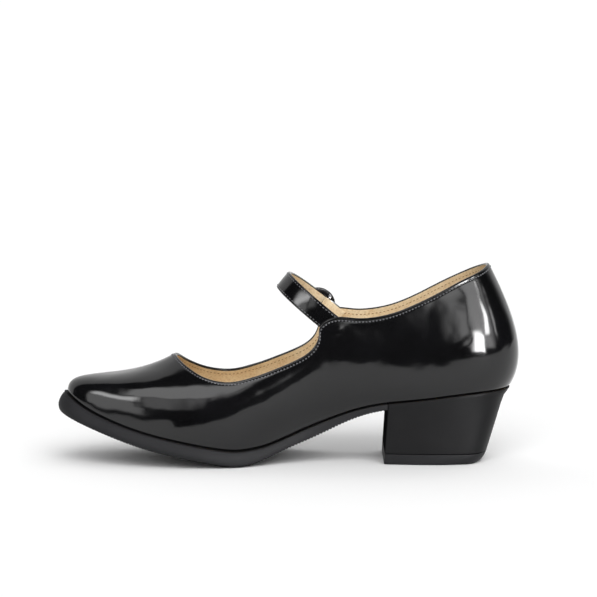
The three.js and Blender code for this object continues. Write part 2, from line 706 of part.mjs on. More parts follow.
// A band of leather along a line, with a square section whose width runs along ACROSS
function band(points, outs, width, thickness) {
  const rings = points.map((p, i) => {
    const corner = (w, n) => {
      const side = p.clone().addScaledVector(ACROSS, w * width);
      return side.addScaledVector(outs[i], n * thickness);
    };
    return [corner(-0.5, -0.5), corner(0.5, -0.5), corner(0.5, 0.5), corner(-0.5, 0.5)];
  });
  return loft(rings, false);
}

function toSolid(geometry) {
  const bare = geometry.clone();
  bare.deleteAttribute("normal");
  bare.deleteAttribute("uv");
  const merged = mergeVertices(bare, 1e-4);
  const vertProperties = Float32Array.from(merged.attributes.position.array);
  const triVerts = Uint32Array.from(merged.index.array);
  return new wasm.Manifold(new wasm.Mesh({ numProp: 3, vertProperties, triVerts }));
}

function fromSolid(solid) {
  const mesh = solid.getMesh();
  const geometry = new THREE.BufferGeometry();
  const places = Float32Array.from(mesh.vertProperties);
  geometry.setAttribute("position", new THREE.BufferAttribute(places, 3));
  geometry.setIndex(Array.from(mesh.triVerts));
  geometry.computeVertexNormals();
  return geometry;
}

// Turns a shape drawn across, along and out from a place on the strap into the shoe's axes
function onStrap(geometry, climb, along = 0, out = 0) {
  const frame = strapFrame(strapShare(climb));
  const origin = frame.origin.clone().addScaledVector(frame.up, along).addScaledVector(frame.out, out);
  const matrix = new THREE.Matrix4().makeBasis(ACROSS, frame.up, frame.out);
  if (matrix.determinant() < 0) matrix.makeBasis(ACROSS.clone().negate(), frame.up, frame.out);
  return geometry.applyMatrix4(matrix.setPosition(origin));
}

const STRAP_STEPS = 44; // sections along the strap
const STRAP_HOLES = 5;
const TAB_STEPS = 14;

function strapGeometry() {
  const points = [];
  const outs = [];
  for (let i = 0; i <= STRAP_STEPS; i++) {
    const share = i / STRAP_STEPS;
    points.push(STRAP_LINE.getPointAt(share));
    const tangent = STRAP_LINE.getTangentAt(share);
    outs.push(ACROSS.clone().cross(tangent).normalize());
  }
  let solid = toSolid(band(points, outs, STRAP_WIDTH, STRAP_THICKNESS));
  for (let i = 0; i < STRAP_HOLES; i++) {
    const drill = new THREE.CylinderGeometry(HOLE_RADIUS, HOLE_RADIUS, STRAP_THICKNESS * 3, 12);
    drill.rotateX(Math.PI / 2);
    const shift = BAR_OFFSET + BAR_RADIUS + CLEARANCE + PRONG_RADIUS;
    const place = onStrap(drill, BUCKLE_AT + shift + (2 - i) * HOLE_PITCH);
    solid = solid.subtract(toSolid(place));
  }
  return fromSolid(solid);
}

// Oval frame of the buckle, lying on the strap
function buckleFrameGeometry() {
  const oval = new THREE.Shape();
  oval.absellipse(0, 0, BUCKLE_WIDTH / 2, BUCKLE_LENGTH / 2, 0, Math.PI * 2, false);
  const window = new THREE.Path();
  const [wide, long] = [BUCKLE_WIDTH / 2 - BUCKLE_RAIL, BUCKLE_LENGTH / 2 - BUCKLE_RAIL];
  window.absellipse(0, 0, wide, long, 0, Math.PI * 2, true);
  oval.holes.push(window);
  const extrusion = { depth: BUCKLE_THICKNESS, bevelEnabled: false, curveSegments: 28 };
  const ring = new THREE.ExtrudeGeometry(oval, extrusion);
  return onStrap(ring, BUCKLE_AT, 0, STRAP_THICKNESS / 2 + CLEARANCE);
}

// A wire of round section along a path
function wire(path, radius, steps, sides = 4) {
  const section = new THREE.Shape();
  section.absarc(0, 0, radius, 0, Math.PI * 2, false);
  const extrusion = { steps, curveSegments: sides, extrudePath: path, bevelEnabled: false };
  return new THREE.ExtrudeGeometry(section, extrusion);
}

// Bar of the buckle: it crosses under the strap and turns up to the frame at both ends
function buckleBarGeometry() {
  const reach = BUCKLE_WIDTH / 2 - BUCKLE_RAIL / 2;
  const low = -(STRAP_THICKNESS / 2 + CLEARANCE + BAR_RADIUS);
  const high = STRAP_THICKNESS / 2;
  const bend = BAR_RADIUS * 1.2;
  const path = new THREE.CurvePath();
  const at = (w, n) => new THREE.Vector3(w, 0, n);
  path.add(new THREE.LineCurve3(at(-reach, high), at(-reach, low + bend)));
  path.add(new THREE.QuadraticBezierCurve3(at(-reach, low + bend), at(-reach, low), at(-reach + bend, low)));
  path.add(new THREE.LineCurve3(at(-reach + bend, low), at(reach - bend, low)));
  path.add(new THREE.QuadraticBezierCurve3(at(reach - bend, low), at(reach, low), at(reach, low + bend)));
  path.add(new THREE.LineCurve3(at(reach, low + bend), at(reach, high)));
  return onStrap(wire(path, BAR_RADIUS, 24), BUCKLE_AT, BAR_OFFSET);
}

// Prong: from beside the bar up through the strap's hole, and along to the upper rail
function prongGeometry() {
  const start = BAR_OFFSET + BAR_RADIUS + CLEARANCE + PRONG_RADIUS;
  const above = STRAP_THICKNESS / 2 + CLEARANCE + PRONG_RADIUS;
  const over = above + BUCKLE_THICKNESS + CLEARANCE;
  const rail = BUCKLE_LENGTH / 2 - BUCKLE_RAIL;
  const at = (l, n) => new THREE.Vector3(0, l, n);
  const path = new THREE.CatmullRomCurve3([
    at(start, -above),
    at(start, 0),
    at(start + PRONG_LEAN, above * 0.9),
    at(start + PRONG_BEND, over * 0.86),
    at(rail - PRONG_LEVEL, over),
    at(rail + BUCKLE_RAIL, over),
  ]);
  return onStrap(wire(path, PRONG_RADIUS, 20), BUCKLE_AT);
}

// Leather tab: from inside the outer quarter up behind the bar
function buckleTabGeometry() {
  const barDepth = STRAP_THICKNESS / 2 + 2 * CLEARANCE + 2 * BAR_RADIUS + TAB_THICKNESS / 2;
  const frame = strapFrame(strapShare(BUCKLE_AT));
  const bar = frame.origin.clone().addScaledVector(frame.out, -barDepth);
  const behind = (along) => bar.clone().addScaledVector(frame.up, along);
  const inside = (climb) => {
    const p = strapPlace(0, climb);
    const depth = WALL + CLEARANCE + STRAP_SLACK + TAB_THICKNESS / 2;
    return strapPlace(wallSpan(p.x, p.z, 1) - depth, climb);
  };
  const sewn = [inside(-TAB_TUCK), inside(-TAB_TUCK / 2), inside(-TAB_THICKNESS)];
  const loose = [behind(BAR_OFFSET), behind(TAB_END)];
  const line = new THREE.CatmullRomCurve3([...sewn, ...loose], false, "centripetal");
  const points = [];
  const outs = [];
  for (let i = 0; i <= TAB_STEPS; i++) {
    points.push(line.getPointAt(i / TAB_STEPS));
    outs.push(ACROSS.clone().cross(line.getTangentAt(i / TAB_STEPS)).normalize());
  }
  return band(points, outs, TAB_WIDTH, TAB_THICKNESS);
}

// Keeper: a bridge over the strap's free end with its feet on the quarter
function keeperGeometry() {
  const half = STRAP_WIDTH / 2 + CLEARANCE;
  const roof = STRAP_THICKNESS / 2 + CLEARANCE;
  const foot = STRAP_SLACK - STRAP_THICKNESS / 2;
  const outer = new THREE.Shape();
  outer.moveTo(-half - KEEPER_THICKNESS, foot);
  outer.lineTo(-half - KEEPER_THICKNESS, roof + KEEPER_THICKNESS);
  outer.lineTo(half + KEEPER_THICKNESS, roof + KEEPER_THICKNESS);
  outer.lineTo(half + KEEPER_THICKNESS, foot);
  outer.lineTo(half, foot);
  outer.lineTo(half, roof);
  outer.lineTo(-half, roof);
  outer.lineTo(-half, foot);
  const bridge = new THREE.ExtrudeGeometry(outer, { depth: KEEPER_WIDTH, bevelEnabled: false });
  bridge.rotateX(Math.PI / 2);
  bridge.translate(0, KEEPER_WIDTH / 2, 0);
  return onStrap(bridge, KEEPER_AT);
}

const shoe = new THREE.Group();
shoe.add(piece("upper", upperGeometry(), PATENT));
shoe.add(piece("outsole", outsoleGeometry(), SOLE_RUBBER));
shoe.add(piece("heel_block", heelBlockGeometry(), HEEL_LACQUER));
shoe.add(piece("top_piece", topPieceGeometry(), SOLE_RUBBER));
shoe.add(piece("insole", insoleGeometry(), LINING));
shoe.add(piece("strap", strapGeometry(), PATENT));
shoe.add(piece("buckle_tab", buckleTabGeometry(), PATENT));
shoe.add(piece("buckle_frame", buckleFrameGeometry(), BLACK_ENAMEL));
shoe.add(piece("buckle_bar", buckleBarGeometry(), BRIGHT_METAL));
shoe.add(piece("buckle_prong", prongGeometry(), BRIGHT_METAL));
shoe.add(piece("strap_keeper", keeperGeometry(), PATENT));

// Stand the shoe on its origin
const bounds = new THREE.Box3().setFromObject(shoe);
const centre = bounds.getCenter(new THREE.Vector3());
shoe.position.set(-centre.x, -centre.y, -bounds.min.z);

export default shoe;
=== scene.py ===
"""Looks of a right folk dance shoe: black patent leather, block heel, one buckled instep strap.

The shapes follow the same named sizes as the part's source, in millimetres along the shoe's own axes:
X from the toe tip to the heel, Y from the inner to the outer side of the foot, Z up from the floor.
"""

import json
import logging
import math
from dataclasses import dataclass, field
from enum import Enum
from typing import Callable, Optional, Sequence

import bpy
import numpy as np
from mathutils import Euler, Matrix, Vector

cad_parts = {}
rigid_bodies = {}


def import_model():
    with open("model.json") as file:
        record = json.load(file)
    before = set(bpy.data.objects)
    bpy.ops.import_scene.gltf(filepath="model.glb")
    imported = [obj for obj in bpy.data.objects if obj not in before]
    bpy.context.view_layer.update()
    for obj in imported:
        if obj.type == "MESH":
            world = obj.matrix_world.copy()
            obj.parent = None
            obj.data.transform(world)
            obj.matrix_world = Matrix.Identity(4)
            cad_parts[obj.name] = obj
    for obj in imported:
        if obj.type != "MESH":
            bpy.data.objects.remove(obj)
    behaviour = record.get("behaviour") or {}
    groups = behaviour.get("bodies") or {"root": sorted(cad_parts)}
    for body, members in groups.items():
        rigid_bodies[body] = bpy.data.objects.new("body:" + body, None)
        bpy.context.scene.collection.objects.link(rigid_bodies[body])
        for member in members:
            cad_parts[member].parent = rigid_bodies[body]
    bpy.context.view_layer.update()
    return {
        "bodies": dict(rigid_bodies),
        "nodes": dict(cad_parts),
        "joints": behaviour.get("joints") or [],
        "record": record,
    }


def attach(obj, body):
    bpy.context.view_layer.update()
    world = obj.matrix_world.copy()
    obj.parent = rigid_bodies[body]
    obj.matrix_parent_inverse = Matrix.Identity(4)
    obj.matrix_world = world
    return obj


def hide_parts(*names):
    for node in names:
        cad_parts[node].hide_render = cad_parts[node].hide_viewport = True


LOG = logging.getLogger("shoe")
MM = 0.001

# Points closer than this are one, and faces narrower than this are dropped, in metres
MERGE = 2e-6
EMPTY = 1e-7


# A height or an inset of each point of a ring
Spread = Callable[[np.ndarray], np.ndarray]


class Side(Enum):
    """The two sides of the foot, by the sign of Y."""

    INNER = -1
    OUTER = 1


# The upper's ribs from the back seam to the toe: at, in, out, lean in, lean out, pull
FEATHER = [
    (0.978, 0, 0, 34, 34, 0.32),
    (0.967, 0.14, 0.14, 33, 33, 0.32),
    (0.939, 0.244, 0.244, 30, 30, 0.31),
    (0.893, 0.299, 0.301, 28, 27, 0.3),
    (0.842, 0.315, 0.32, 28, 25, 0.3),
    (0.79, 0.307, 0.321, 30, 25, 0.3),
    (0.739, 0.29, 0.317, 34, 25, 0.3),
    (0.7, 0.274, 0.315, 38, 25, 0.3),
    (0.664, 0.257, 0.318, 42, 26, 0.3),
    (0.636, 0.246, 0.324, 45, 26, 0.3),
    (0.611, 0.239, 0.331, 46, 27, 0.3),
    (0.587, 0.236, 0.343, 46, 26, 0.3),
    (0.557, 0.238, 0.361, 46, 25, 0.3),
    (0.52, 0.252, 0.392, 43, 22, 0.3),
    (0.466, 0.304, 0.44, 34, 19, 0.3),
    (0.403, 0.372, 0.488, 24, 15, 0.3),
    (0.336, 0.425, 0.501, 14, 11, 0.3),
    (0.265, 0.428, 0.465, 7, 7, 0.3),
    (0.198, 0.398, 0.407, 3, 3, 0.3),
    (0.13, 0.333, 0.335, 0, 0, 0.3),
    (0.071, 0.24, 0.24, 0, 0, 0.26),
    (0.035, 0.142, 0.142, 0, 0, 0.26),
    (0.02, 0, 0, 0, 0, 0.26),
]

# The same ribs at the topline: at, in, out, rise in, rise out, lean, swing, pull
TOPLINE = [
    (0.932, 0, 0, 1.01, 1.01, 27, 0, 0.38),
    (0.926, 0.109, 0.109, 0.997, 0.997, 25, 0, 0.37),
    (0.907, 0.205, 0.205, 0.966, 0.966, 19, 0, 0.36),
    (0.874, 0.263, 0.267, 0.928, 0.918, 13, 0, 0.35),
    (0.824, 0.295, 0.305, 0.857, 0.847, 9, 0, 0.33),
    (0.765, 0.313, 0.326, 0.779, 0.761, 6, 0, 0.33),
    (0.704, 0.324, 0.34, 0.729, 0.711, 5, 0, 0.33),
    (0.652, 0.332, 0.35, 0.751, 0.733, 4, 0, 0.33),
    (0.611, 0.337, 0.359, 0.813, 0.795, 4, 6, 0.33),
    (0.582, 0.341, 0.362, 0.831, 0.813, 5, 12, 0.33),
    (0.566, 0.345, 0.364, 0.796, 0.778, 6, 20, 0.33),
    (0.564, 0.35, 0.367, 0.729, 0.711, 6.5, 24, 0.33),
    (0.551, 0.356, 0.374, 0.651, 0.633, 10, 20, 0.33),
    (0.52, 0.364, 0.387, 0.618, 0.6, 18, 9, 0.33),
    (0.47, 0.376, 0.4, 0.615, 0.597, 27, 4, 0.34),
    (0.417, 0.382, 0.404, 0.594, 0.576, 36, 0, 0.35),
    (0.368, 0.371, 0.385, 0.56, 0.542, 42, 0, 0.37),
    (0.324, 0.327, 0.333, 0.557, 0.539, 48, 0, 0.41),
    (0.294, 0.256, 0.259, 0.585, 0.567, 53, 0, 0.46),
    (0.273, 0.174, 0.174, 0.616, 0.606, 57, 0, 0.52),
    (0.26, 0.09, 0.09, 0.641, 0.641, 59, 0, 0.57),
    (0.2555, 0.035, 0.035, 0.648, 0.648, 60, 0, 0.6),
    (0.2545, 0, 0, 0.649, 0.649, 60, 0, 0.6),
]

# Side profile of the sole: at, toe share, heel share, edge share
PROFILE = [
    (0, 1.1, 0, 1.4),
    (0.02, 1, 0, 1.33),
    (0.05, 0.87, 0, 1.14),
    (0.1, 0.68, 0, 1),
    (0.18, 0.405, 0, 1),
    (0.27, 0.185, 0, 1),
    (0.35, 0.02, 0, 1.02),
    (0.385, -0.03, 0, 1.03),
    (0.415, 0, 0, 0.98),
    (0.44, 0, 0.055, 0.86),
    (0.483, 0, 0.18, 0.74),
    (0.526, 0, 0.3, 0.75),
    (0.569, 0, 0.43, 0.72),
    (0.611, 0, 0.572, 0.6),
    (0.654, 0, 0.698, 0.48),
    (0.7, 0, 0.787, 0.41),
    (0.78, 0, 0.858, 0.4),
    (0.87, 0, 0.94, 0.4),
    (0.98, 0, 1, 0.4),
]

# How far the sole edge stands past the feather line: at, share of the lip
MARGIN = [
    (0, 1),
    (0.05, 0.95),
    (0.15, 0.7),
    (0.3, 0.55),
    (0.42, 0.45),
    (0.52, 0.22),
    (0.62, 0.14),
    (0.72, 0.12),
    (1, 0.12),
]

# Rounded edge of the sole: out as a share of the margin, up as a share of the thickness
SOLE_EDGE = [(0.3, 1), (0.5, 0.95), (0.8, 0.74), (1, 0.46), (0.92, 0.2), (0.66, 0.085), (0.35, 0.06)]

# How far the tread's grooves run up the sole's edge: share of their depth, from the tread upwards
TREAD_CLIMB = [1, 0.95, 0.8, 0.4]

# Rows across the upper's wall, in millimetres above the feather line and below the topline
FOOT_ROWS = [0, 0.3, 0.7, 1.2, 1.9, 2.8]
TOP_ROWS = [5.2, 4.4, 3.7, 3.2, 2.85, 2.6, 2.35, 2.1, 1.85, 1.6, 1.35, 1.1]
LINING_ROWS = [1.3, 1.8, 2.4, 2.8, 3.2, 3.6, 4.2, 5.2]

# Levels of the heel block: share of the way down from the seat, inset in millimetres
HEEL_LEVELS = [
    (0, 0.3),
    (0.012, 0.05),
    (0.05, 0),
    (0.12, 0),
    (0.25, 0),
    (0.4, 0),
    (0.55, 0),
    (0.7, 0),
    (0.85, 0),
    (0.97, 0),
    (0.992, 0.05),
    (1, 0.25),
]

# Rounding of the lift: up as a share of its height, in as a share of its rounding
TIP_ROUND = [(1, 0), (0.6, 0.12), (0.22, 0.5), (0, 1)]

# Arch of the strap: span as a share of the way to the quarter, climb as a share of its rise
ARCH = [
    (-0.97, 0.24),
    (-0.83, 0.53),
    (-0.54, 0.8),
    (-0.16, 0.95),
    (0.16, 0.955),
    (0.5, 0.82),
    (0.73, 0.61),
    (0.86, 0.4),
    (0.94, 0.2),
]

# Shape of a stitch: along as a share of its length, width and lift as shares of the thread's radius
STITCH = [(-0.5, 0.35, -0.6), (-0.32, 0.85, 0.1), (0, 1, 0.35), (0.32, 0.85, 0.1), (0.5, 0.35, -0.6)]
STITCH_SIDES = 6
STITCH_FLAT = 0.8


class SmoothCurve:
    """A curve with even curvature through a table's values."""

    def __init__(self, knots: Sequence[float], values: Sequence[float], closed: bool) -> None:
        """Solve the curve's bends.

        Args:
            knots: Places of the values. A closed curve's last knot is its period.
            values: What the curve passes through.
            closed: Whether the curve runs round and joins itself.
        """
        self.knots = np.array(knots, float)
        self.values = np.array(values, float)
        self.closed = closed
        count = len(values)
        self.segments = count if closed else count - 1
        spans = np.diff(self.knots)
        after = np.roll(self.values, -1)
        slopes = (after[: self.segments] - self.values[: self.segments]) / spans
        matrix = np.eye(count)
        right = np.zeros(count)
        for i in range(0 if closed else 1, count if closed else count - 1):
            low, high = spans[i - 1], spans[i]
            matrix[i] = 0
            matrix[i, i] = 2 * (low + high)
            matrix[i, (i - 1) % count] += low
            matrix[i, (i + 1) % count] += high
            right[i] = 6 * (slopes[i] - slopes[i - 1])
        self.bend = np.linalg.solve(matrix, right)

    def __call__(self, at: np.ndarray) -> np.ndarray:
        """Return the curve's values at some places."""
        place = np.asarray(at, float)
        if self.closed:
            place = np.mod(place, self.knots[-1])
        i = np.clip(np.searchsorted(self.knots[1:-1], place), 0, self.segments - 1)
        j = (i + 1) % len(self.values)
        span = self.knots[i + 1] - self.knots[i]
        b = (place - self.knots[i]) / span
        a = 1 - b
        bow = (a**3 - a) * self.bend[i] + (b**3 - b) * self.bend[j]
        return a * self.values[i] + b * self.values[j] + bow * span * span / 6


def unit(vectors: np.ndarray) -> np.ndarray:
    """Return vectors scaled to length one."""
    return vectors / np.linalg.norm(vectors, axis=-1, keepdims=True)


def bump(distance: np.ndarray, width: float) -> np.ndarray:
    """Return a soft hump of height one, width millimetres to each side."""
    return np.exp(-((distance / width) ** 2))


@dataclass
class Last:
    """The shape that the shoe is made on, from named sizes in millimetres."""

    length: float = 253
    ball_width: float = 78
    counter_height: float = 68
    toe_spring: float = 25
    seat_rise: float = 36.7
    forepart_edge: float = 8.7
    wall: float = 1.8
    clearance: float = 0.3
    lip: float = 5
    edge_lift: float = 0.5
    shift: tuple[float, float, float] = (-126.35, -2.67, 0)
    # Distances in millimetres, and shares of the climb, over which a slope is measured
    near: float = 0.05
    apart: float = 0.4
    climb_step: float = 0.02
    climb_rows: int = 80
    halvings: int = 40

    def __post_init__(self) -> None:
        """Run the tables' columns into smooth curves."""
        at, toe, heel, edge = zip(*PROFILE)
        self.toe_share = SmoothCurve(at, toe, False)
        self.heel_share = SmoothCurve(at, heel, False)
        self.edge_share = SmoothCurve(at, edge, False)
        self.lip_share = SmoothCurve(*zip(*MARGIN), False)
        ribs = []
        for foot, top in zip(FEATHER, TOPLINE):
            ribs.append((foot[0], -foot[1], foot[3], foot[5], top[0], -top[1], top[3], *top[5:]))
        for foot, top in list(zip(FEATHER, TOPLINE))[-2:0:-1]:
            ribs.append((foot[0], foot[2], foot[4], foot[5], top[0], top[2], top[4], *top[5:]))
        knots = [0.0]
        for here, after in zip(ribs, ribs[1:] + ribs[:1]):
            along = (after[0] - here[0]) * self.length
            across = (after[1] - here[1]) * self.ball_width
            knots.append(knots[-1] + math.hypot(along, across))
        self.period = knots[-1]
        self.toe = knots[len(FEATHER) - 1]
        scales = {
            "foot_x": self.length,
            "foot_y": self.ball_width,
            "lean": math.radians(1),
            "foot_pull": 1,
            "top_x": self.length,
            "top_y": self.ball_width,
            "rise": self.counter_height,
            "top_lean": math.radians(1),
            "swing": math.radians(1),
            "top_pull": 1,
        }
        self.curves = {}
        for column, (name, scale) in enumerate(scales.items()):
            self.curves[name] = SmoothCurve(knots, [rib[column] * scale for rib in ribs], True)

    def of(self, name: str, around: np.ndarray) -> np.ndarray:
        """Return one named curve's values at places round the shoe."""
        return self.curves[name](around)

    def profile(self, x: np.ndarray) -> np.ndarray:
        """Return the sole's side profile at x, before the floor flattens it."""
        share = np.asarray(x) / self.length
        return self.toe_share(share) * self.toe_spring + self.heel_share(share) * self.seat_rise

    def tread_height(self, x: np.ndarray) -> np.ndarray:
        """Return the underside of the sole at x."""
        return np.maximum(0, self.profile(x))

    def edge_thickness(self, x: np.ndarray) -> np.ndarray:
        """Return the thickness of the sole at x."""
        return self.edge_share(np.asarray(x) / self.length) * self.forepart_edge

    def seat_height(self, x: np.ndarray) -> np.ndarray:
        """Return the upper face of the sole and heel seat at x."""
        return self.profile(x) + self.edge_thickness(x)

    def margin(self, x: np.ndarray) -> np.ndarray:
        """Return how far the sole edge stands past the feather line at x."""
        return self.lip_share(np.asarray(x) / self.length) * self.lip

    def outward(self, around: np.ndarray) -> np.ndarray:
        """Return the level direction out from the feather line."""
        before, after = around - self.near, around + self.near
        along = self.of("foot_x", after) - self.of("foot_x", before)
        across = self.of("foot_y", after) - self.of("foot_y", before)
        return unit(np.stack([-across, along, np.zeros_like(along)], -1))

    def rib_handles(self, around: np.ndarray) -> list[np.ndarray]:
        """Return the four handles of the ribs at places round the shoe."""
        x = self.of("foot_x", around)
        foot = np.stack([x, self.of("foot_y", around), self.seat_height(x) + self.clearance], -1)
        x = self.of("top_x", around)
        high = self.seat_height(x) + self.of("rise", around)
        top = np.stack([x, self.of("top_y", around), high], -1)
        outward = self.outward(around)
        chord = np.linalg.norm(top - foot, axis=-1)
        lean = self.of("lean", around)
        rising = outward * np.sin(lean)[..., None]
        rising[..., 2] = np.cos(lean)
        lean, swing = self.of("top_lean", around), self.of("swing", around)
        falling = outward * np.sin(lean)[..., None]
        falling[..., 0] += np.sin(swing) * np.cos(lean)
        falling[..., 2] = -np.cos(swing) * np.cos(lean)
        low = foot + rising * (chord * self.of("foot_pull", around))[..., None]
        high = top + falling * (chord * self.of("top_pull", around))[..., None]
        return [foot, low, high, top]

    def rib_point(self, around: np.ndarray, climb: np.ndarray) -> np.ndarray:
        """Return points of the ribs at shares climb of the way up."""
        a, b, c, d = self.rib_handles(np.asarray(around, float))
        t = np.asarray(climb, float)[..., None]
        s = 1 - t
        return a * s**3 + 3 * b * s**2 * t + 3 * c * s * t**2 + d * t**3

    def inward(self, around: np.ndarray, climb: np.ndarray) -> np.ndarray:
        """Return the direction from the upper's outer face into its wall."""
        along = self.rib_point(around + self.apart, climb) - self.rib_point(around - self.apart, climb)
        high = self.rib_point(around, np.minimum(1, climb + self.climb_step))
        low = self.rib_point(around, np.maximum(0, climb - self.climb_step))
        return unit(np.cross(along, high - low))

    def rib_lengths(self, around: np.ndarray) -> tuple[np.ndarray, np.ndarray]:
        """Return shares of the climb and, for each rib, its length up to them."""
        climbs = np.linspace(0, 1, self.climb_rows + 1)
        grid = np.broadcast_to(around[:, None], (len(around), len(climbs)))
        points = self.rib_point(grid, np.broadcast_to(climbs, grid.shape))
        steps = np.linalg.norm(np.diff(points, axis=1), axis=-1)
        return climbs, np.concatenate([np.zeros((len(around), 1)), np.cumsum(steps, 1)], 1)

    def place_at(self, x: float, heel: float) -> float:
        """Return the place that lies at x on one side of the shoe.

        Args:
            x: Length from the toe.
            heel: Where that side ends at the heel, 0 for the inner side and the period for the outer.

        Returns:
            The place round the shoe.
        """
        behind, before = heel, self.toe
        for _ in range(self.halvings):
            middle = (behind + before) / 2
            if self.of("foot_x", middle) > x:
                behind = middle
            else:
                before = middle
        return (behind + before) / 2

    def inner_at(self, x: float) -> float:
        """Return the place round the inner side that lies at x."""
        return self.place_at(x, 0.0)

    def opposite(self, around: float) -> float:
        """Return the outer side's place at the same length as an inner one."""
        return self.place_at(self.of("foot_x", around), self.period)

    def opposites(self, inner: np.ndarray, meeting: float) -> np.ndarray:
        """Return the outer side's places for inner ones, the last of which is where the sides meet."""
        return np.array([self.opposite(around) for around in inner[:-1]] + [meeting])

    def edge_point(self, around: np.ndarray, out: np.ndarray) -> np.ndarray:
        """Return a level point that stands out from the feather line."""
        feather = [self.of("foot_x", around), self.of("foot_y", around), np.zeros_like(around)]
        return np.stack(feather, -1) + self.outward(around) * np.asarray(out)[..., None]

    def wall_span(self, x: float, z: float, side: Side) -> float:
        """Return how far the outer face stands from the middle at a point of the side view.

        Args:
            x: Length from the toe.
            z: Height above the floor.
            side: Side of the foot.

        Returns:
            The distance from the middle, found by stepping along and up the face.
        """
        around = self.inner_at(x)
        if side is Side.OUTER:
            around = self.opposite(around)
        climb, lowest = 0.7, 0.3
        step, drop, stride, tries = 0.5, 0.01, 6, 30
        for _ in range(tries):
            here = self.rib_point(around, climb)
            along = (self.rib_point(around + step, climb) - here) / step
            up = (self.rib_point(around, climb - drop) - here) / -drop
            dx, dz = x - here[0], z - here[2]
            scale = along[0] * up[2] - along[2] * up[0]
            around += float(np.clip((dx * up[2] - dz * up[0]) / scale, -stride, stride))
            climb = float(np.clip(climb + (along[0] * dz - along[2] * dx) / scale, lowest, 1))
        return abs(float(self.rib_point(around, climb)[1]))


# Meshes


def deselect() -> None:
    """Leave object mode with nothing selected."""
    if bpy.context.object and bpy.context.object.mode != "OBJECT":
        bpy.ops.object.mode_set(mode="OBJECT")
    bpy.ops.object.select_all(action="DESELECT")


def select_only(piece: bpy.types.Object) -> None:
    """Select one piece and make it active."""
    deselect()
    piece.select_set(True)
    bpy.context.view_layer.objects.active = piece


def shaped_grid(
    name: str,
    places: np.ndarray,
    last: Last,
    face_finish: Optional[Callable[[np.ndarray, np.ndarray], np.ndarray]] = None,
    angle: float = 40,
) -> bpy.types.Object:
    """Add a grid, move its points to their places, and close its seams.

    Args:
        name: Name of the piece.
        places: Points as rows of columns, in millimetres on the shoe's own axes.
        last: The shoe's sizes, whose shift leads to the part's axes.
        face_finish: Gives each face's finish from its row and column.
        angle: Edges sharper than this many degrees stay crisp.

    Returns:
        The piece, closed where rows or columns meet.
    """
    rows, columns = places.shape[:2]
    deselect()
    bpy.ops.mesh.primitive_grid_add(x_subdivisions=columns - 1, y_subdivisions=rows - 1, size=1)
    piece = bpy.context.object
    piece.name = name
    mesh = piece.data
    mesh.name = name
    flat = (places.reshape(-1, 3) + np.array(last.shift)) * MM
    mesh.vertices.foreach_set("co", flat.astype(np.float32).ravel())
    if face_finish is not None:
        corners = np.empty(len(mesh.loops), np.int32)
        mesh.loops.foreach_get("vertex_index", corners)
        starts = np.empty(len(mesh.polygons), np.int32)
        mesh.polygons.foreach_get("loop_start", starts)
        row, column = np.divmod(corners[starts], columns)
        mesh.polygons.foreach_set("material_index", face_finish(row, column).astype(np.int32))
    mesh.update()
    close_seams(piece)
    smooth(piece, angle)
    return piece


def signed_volume(mesh: bpy.types.Mesh) -> float:
    """Return a closed mesh's volume, below zero if its faces look inwards."""
    mesh.calc_loop_triangles()
    corners = np.empty(len(mesh.loop_triangles) * 3, np.int32)
    mesh.loop_triangles.foreach_get("vertices", corners)
    points = np.empty(len(mesh.vertices) * 3, np.float32)
    mesh.vertices.foreach_get("co", points)
    a, b, c = points.reshape(-1, 3).astype(float)[corners.reshape(-1, 3)].transpose(1, 0, 2)
    return float((a * np.cross(b, c)).sum() / 6)


def close_seams(piece: bpy.types.Object) -> None:
    """Merge the points that meet, drop empty faces, and turn the faces outwards."""
    select_only(piece)
    bpy.ops.object.mode_set(mode="EDIT")
    bpy.ops.mesh.select_all(action="SELECT")
    bpy.ops.mesh.remove_doubles(threshold=MERGE)
    bpy.ops.mesh.dissolve_degenerate(threshold=EMPTY)
    bpy.ops.mesh.select_all(action="SELECT")
    bpy.ops.mesh.normals_make_consistent(inside=False)
    bpy.ops.object.mode_set(mode="OBJECT")
    if signed_volume(piece.data) < 0:
        # A thin board can be turned the wrong way round as a whole
        bpy.ops.object.mode_set(mode="EDIT")
        bpy.ops.mesh.select_all(action="SELECT")
        bpy.ops.mesh.flip_normals()
        bpy.ops.object.mode_set(mode="OBJECT")


def smooth(piece: bpy.types.Object, angle: float) -> None:
    """Shade a piece smooth apart from its sharp edges."""
    select_only(piece)
    bpy.ops.object.shade_smooth_by_angle(angle=math.radians(angle))


def capped(rings: np.ndarray, first: bool = True, final: bool = True) -> np.ndarray:
    """Close each ring on itself, and add a middle point at the ends that aren't a line already.

    Args:
        rings: Points as rings, in millimetres.
        first: Whether the first ring is open and needs its middle.
        final: Whether the last ring is open and needs its middle.

    Returns:
        Rows of points for a grid.
    """
    closed = np.concatenate([rings, rings[:, :1]], 1)
    rows = [closed]
    if first:
        rows.insert(0, np.broadcast_to(rings[0].mean(0), closed[:1].shape))
    if final:
        rows.append(np.broadcast_to(rings[-1].mean(0), closed[:1].shape))
    return np.concatenate(rows, 0)


def spread_across(near: np.ndarray, far: np.ndarray, columns: int) -> np.ndarray:
    """Return rows of points spaced evenly from the near edge's points to the far edge's."""
    share = np.linspace(0, 1, columns + 1)[None, :, None]
    return near[:, None] * (1 - share) + far[:, None] * share


def wrapped(top: np.ndarray, far: np.ndarray, low: np.ndarray, near: np.ndarray) -> np.ndarray:
    """Return rings that run over the top, down the far edge, back underneath and up the near edge."""
    return np.concatenate([top, far[:, 1:], low[:, -2:0:-1], near[:, :0:-1]], 1)


def lengths_along(points: np.ndarray) -> np.ndarray:
    """Return the length of a path up to each of its points."""
    steps = np.linalg.norm(np.diff(points, axis=0), axis=1)
    return np.concatenate([[0], np.cumsum(steps)])


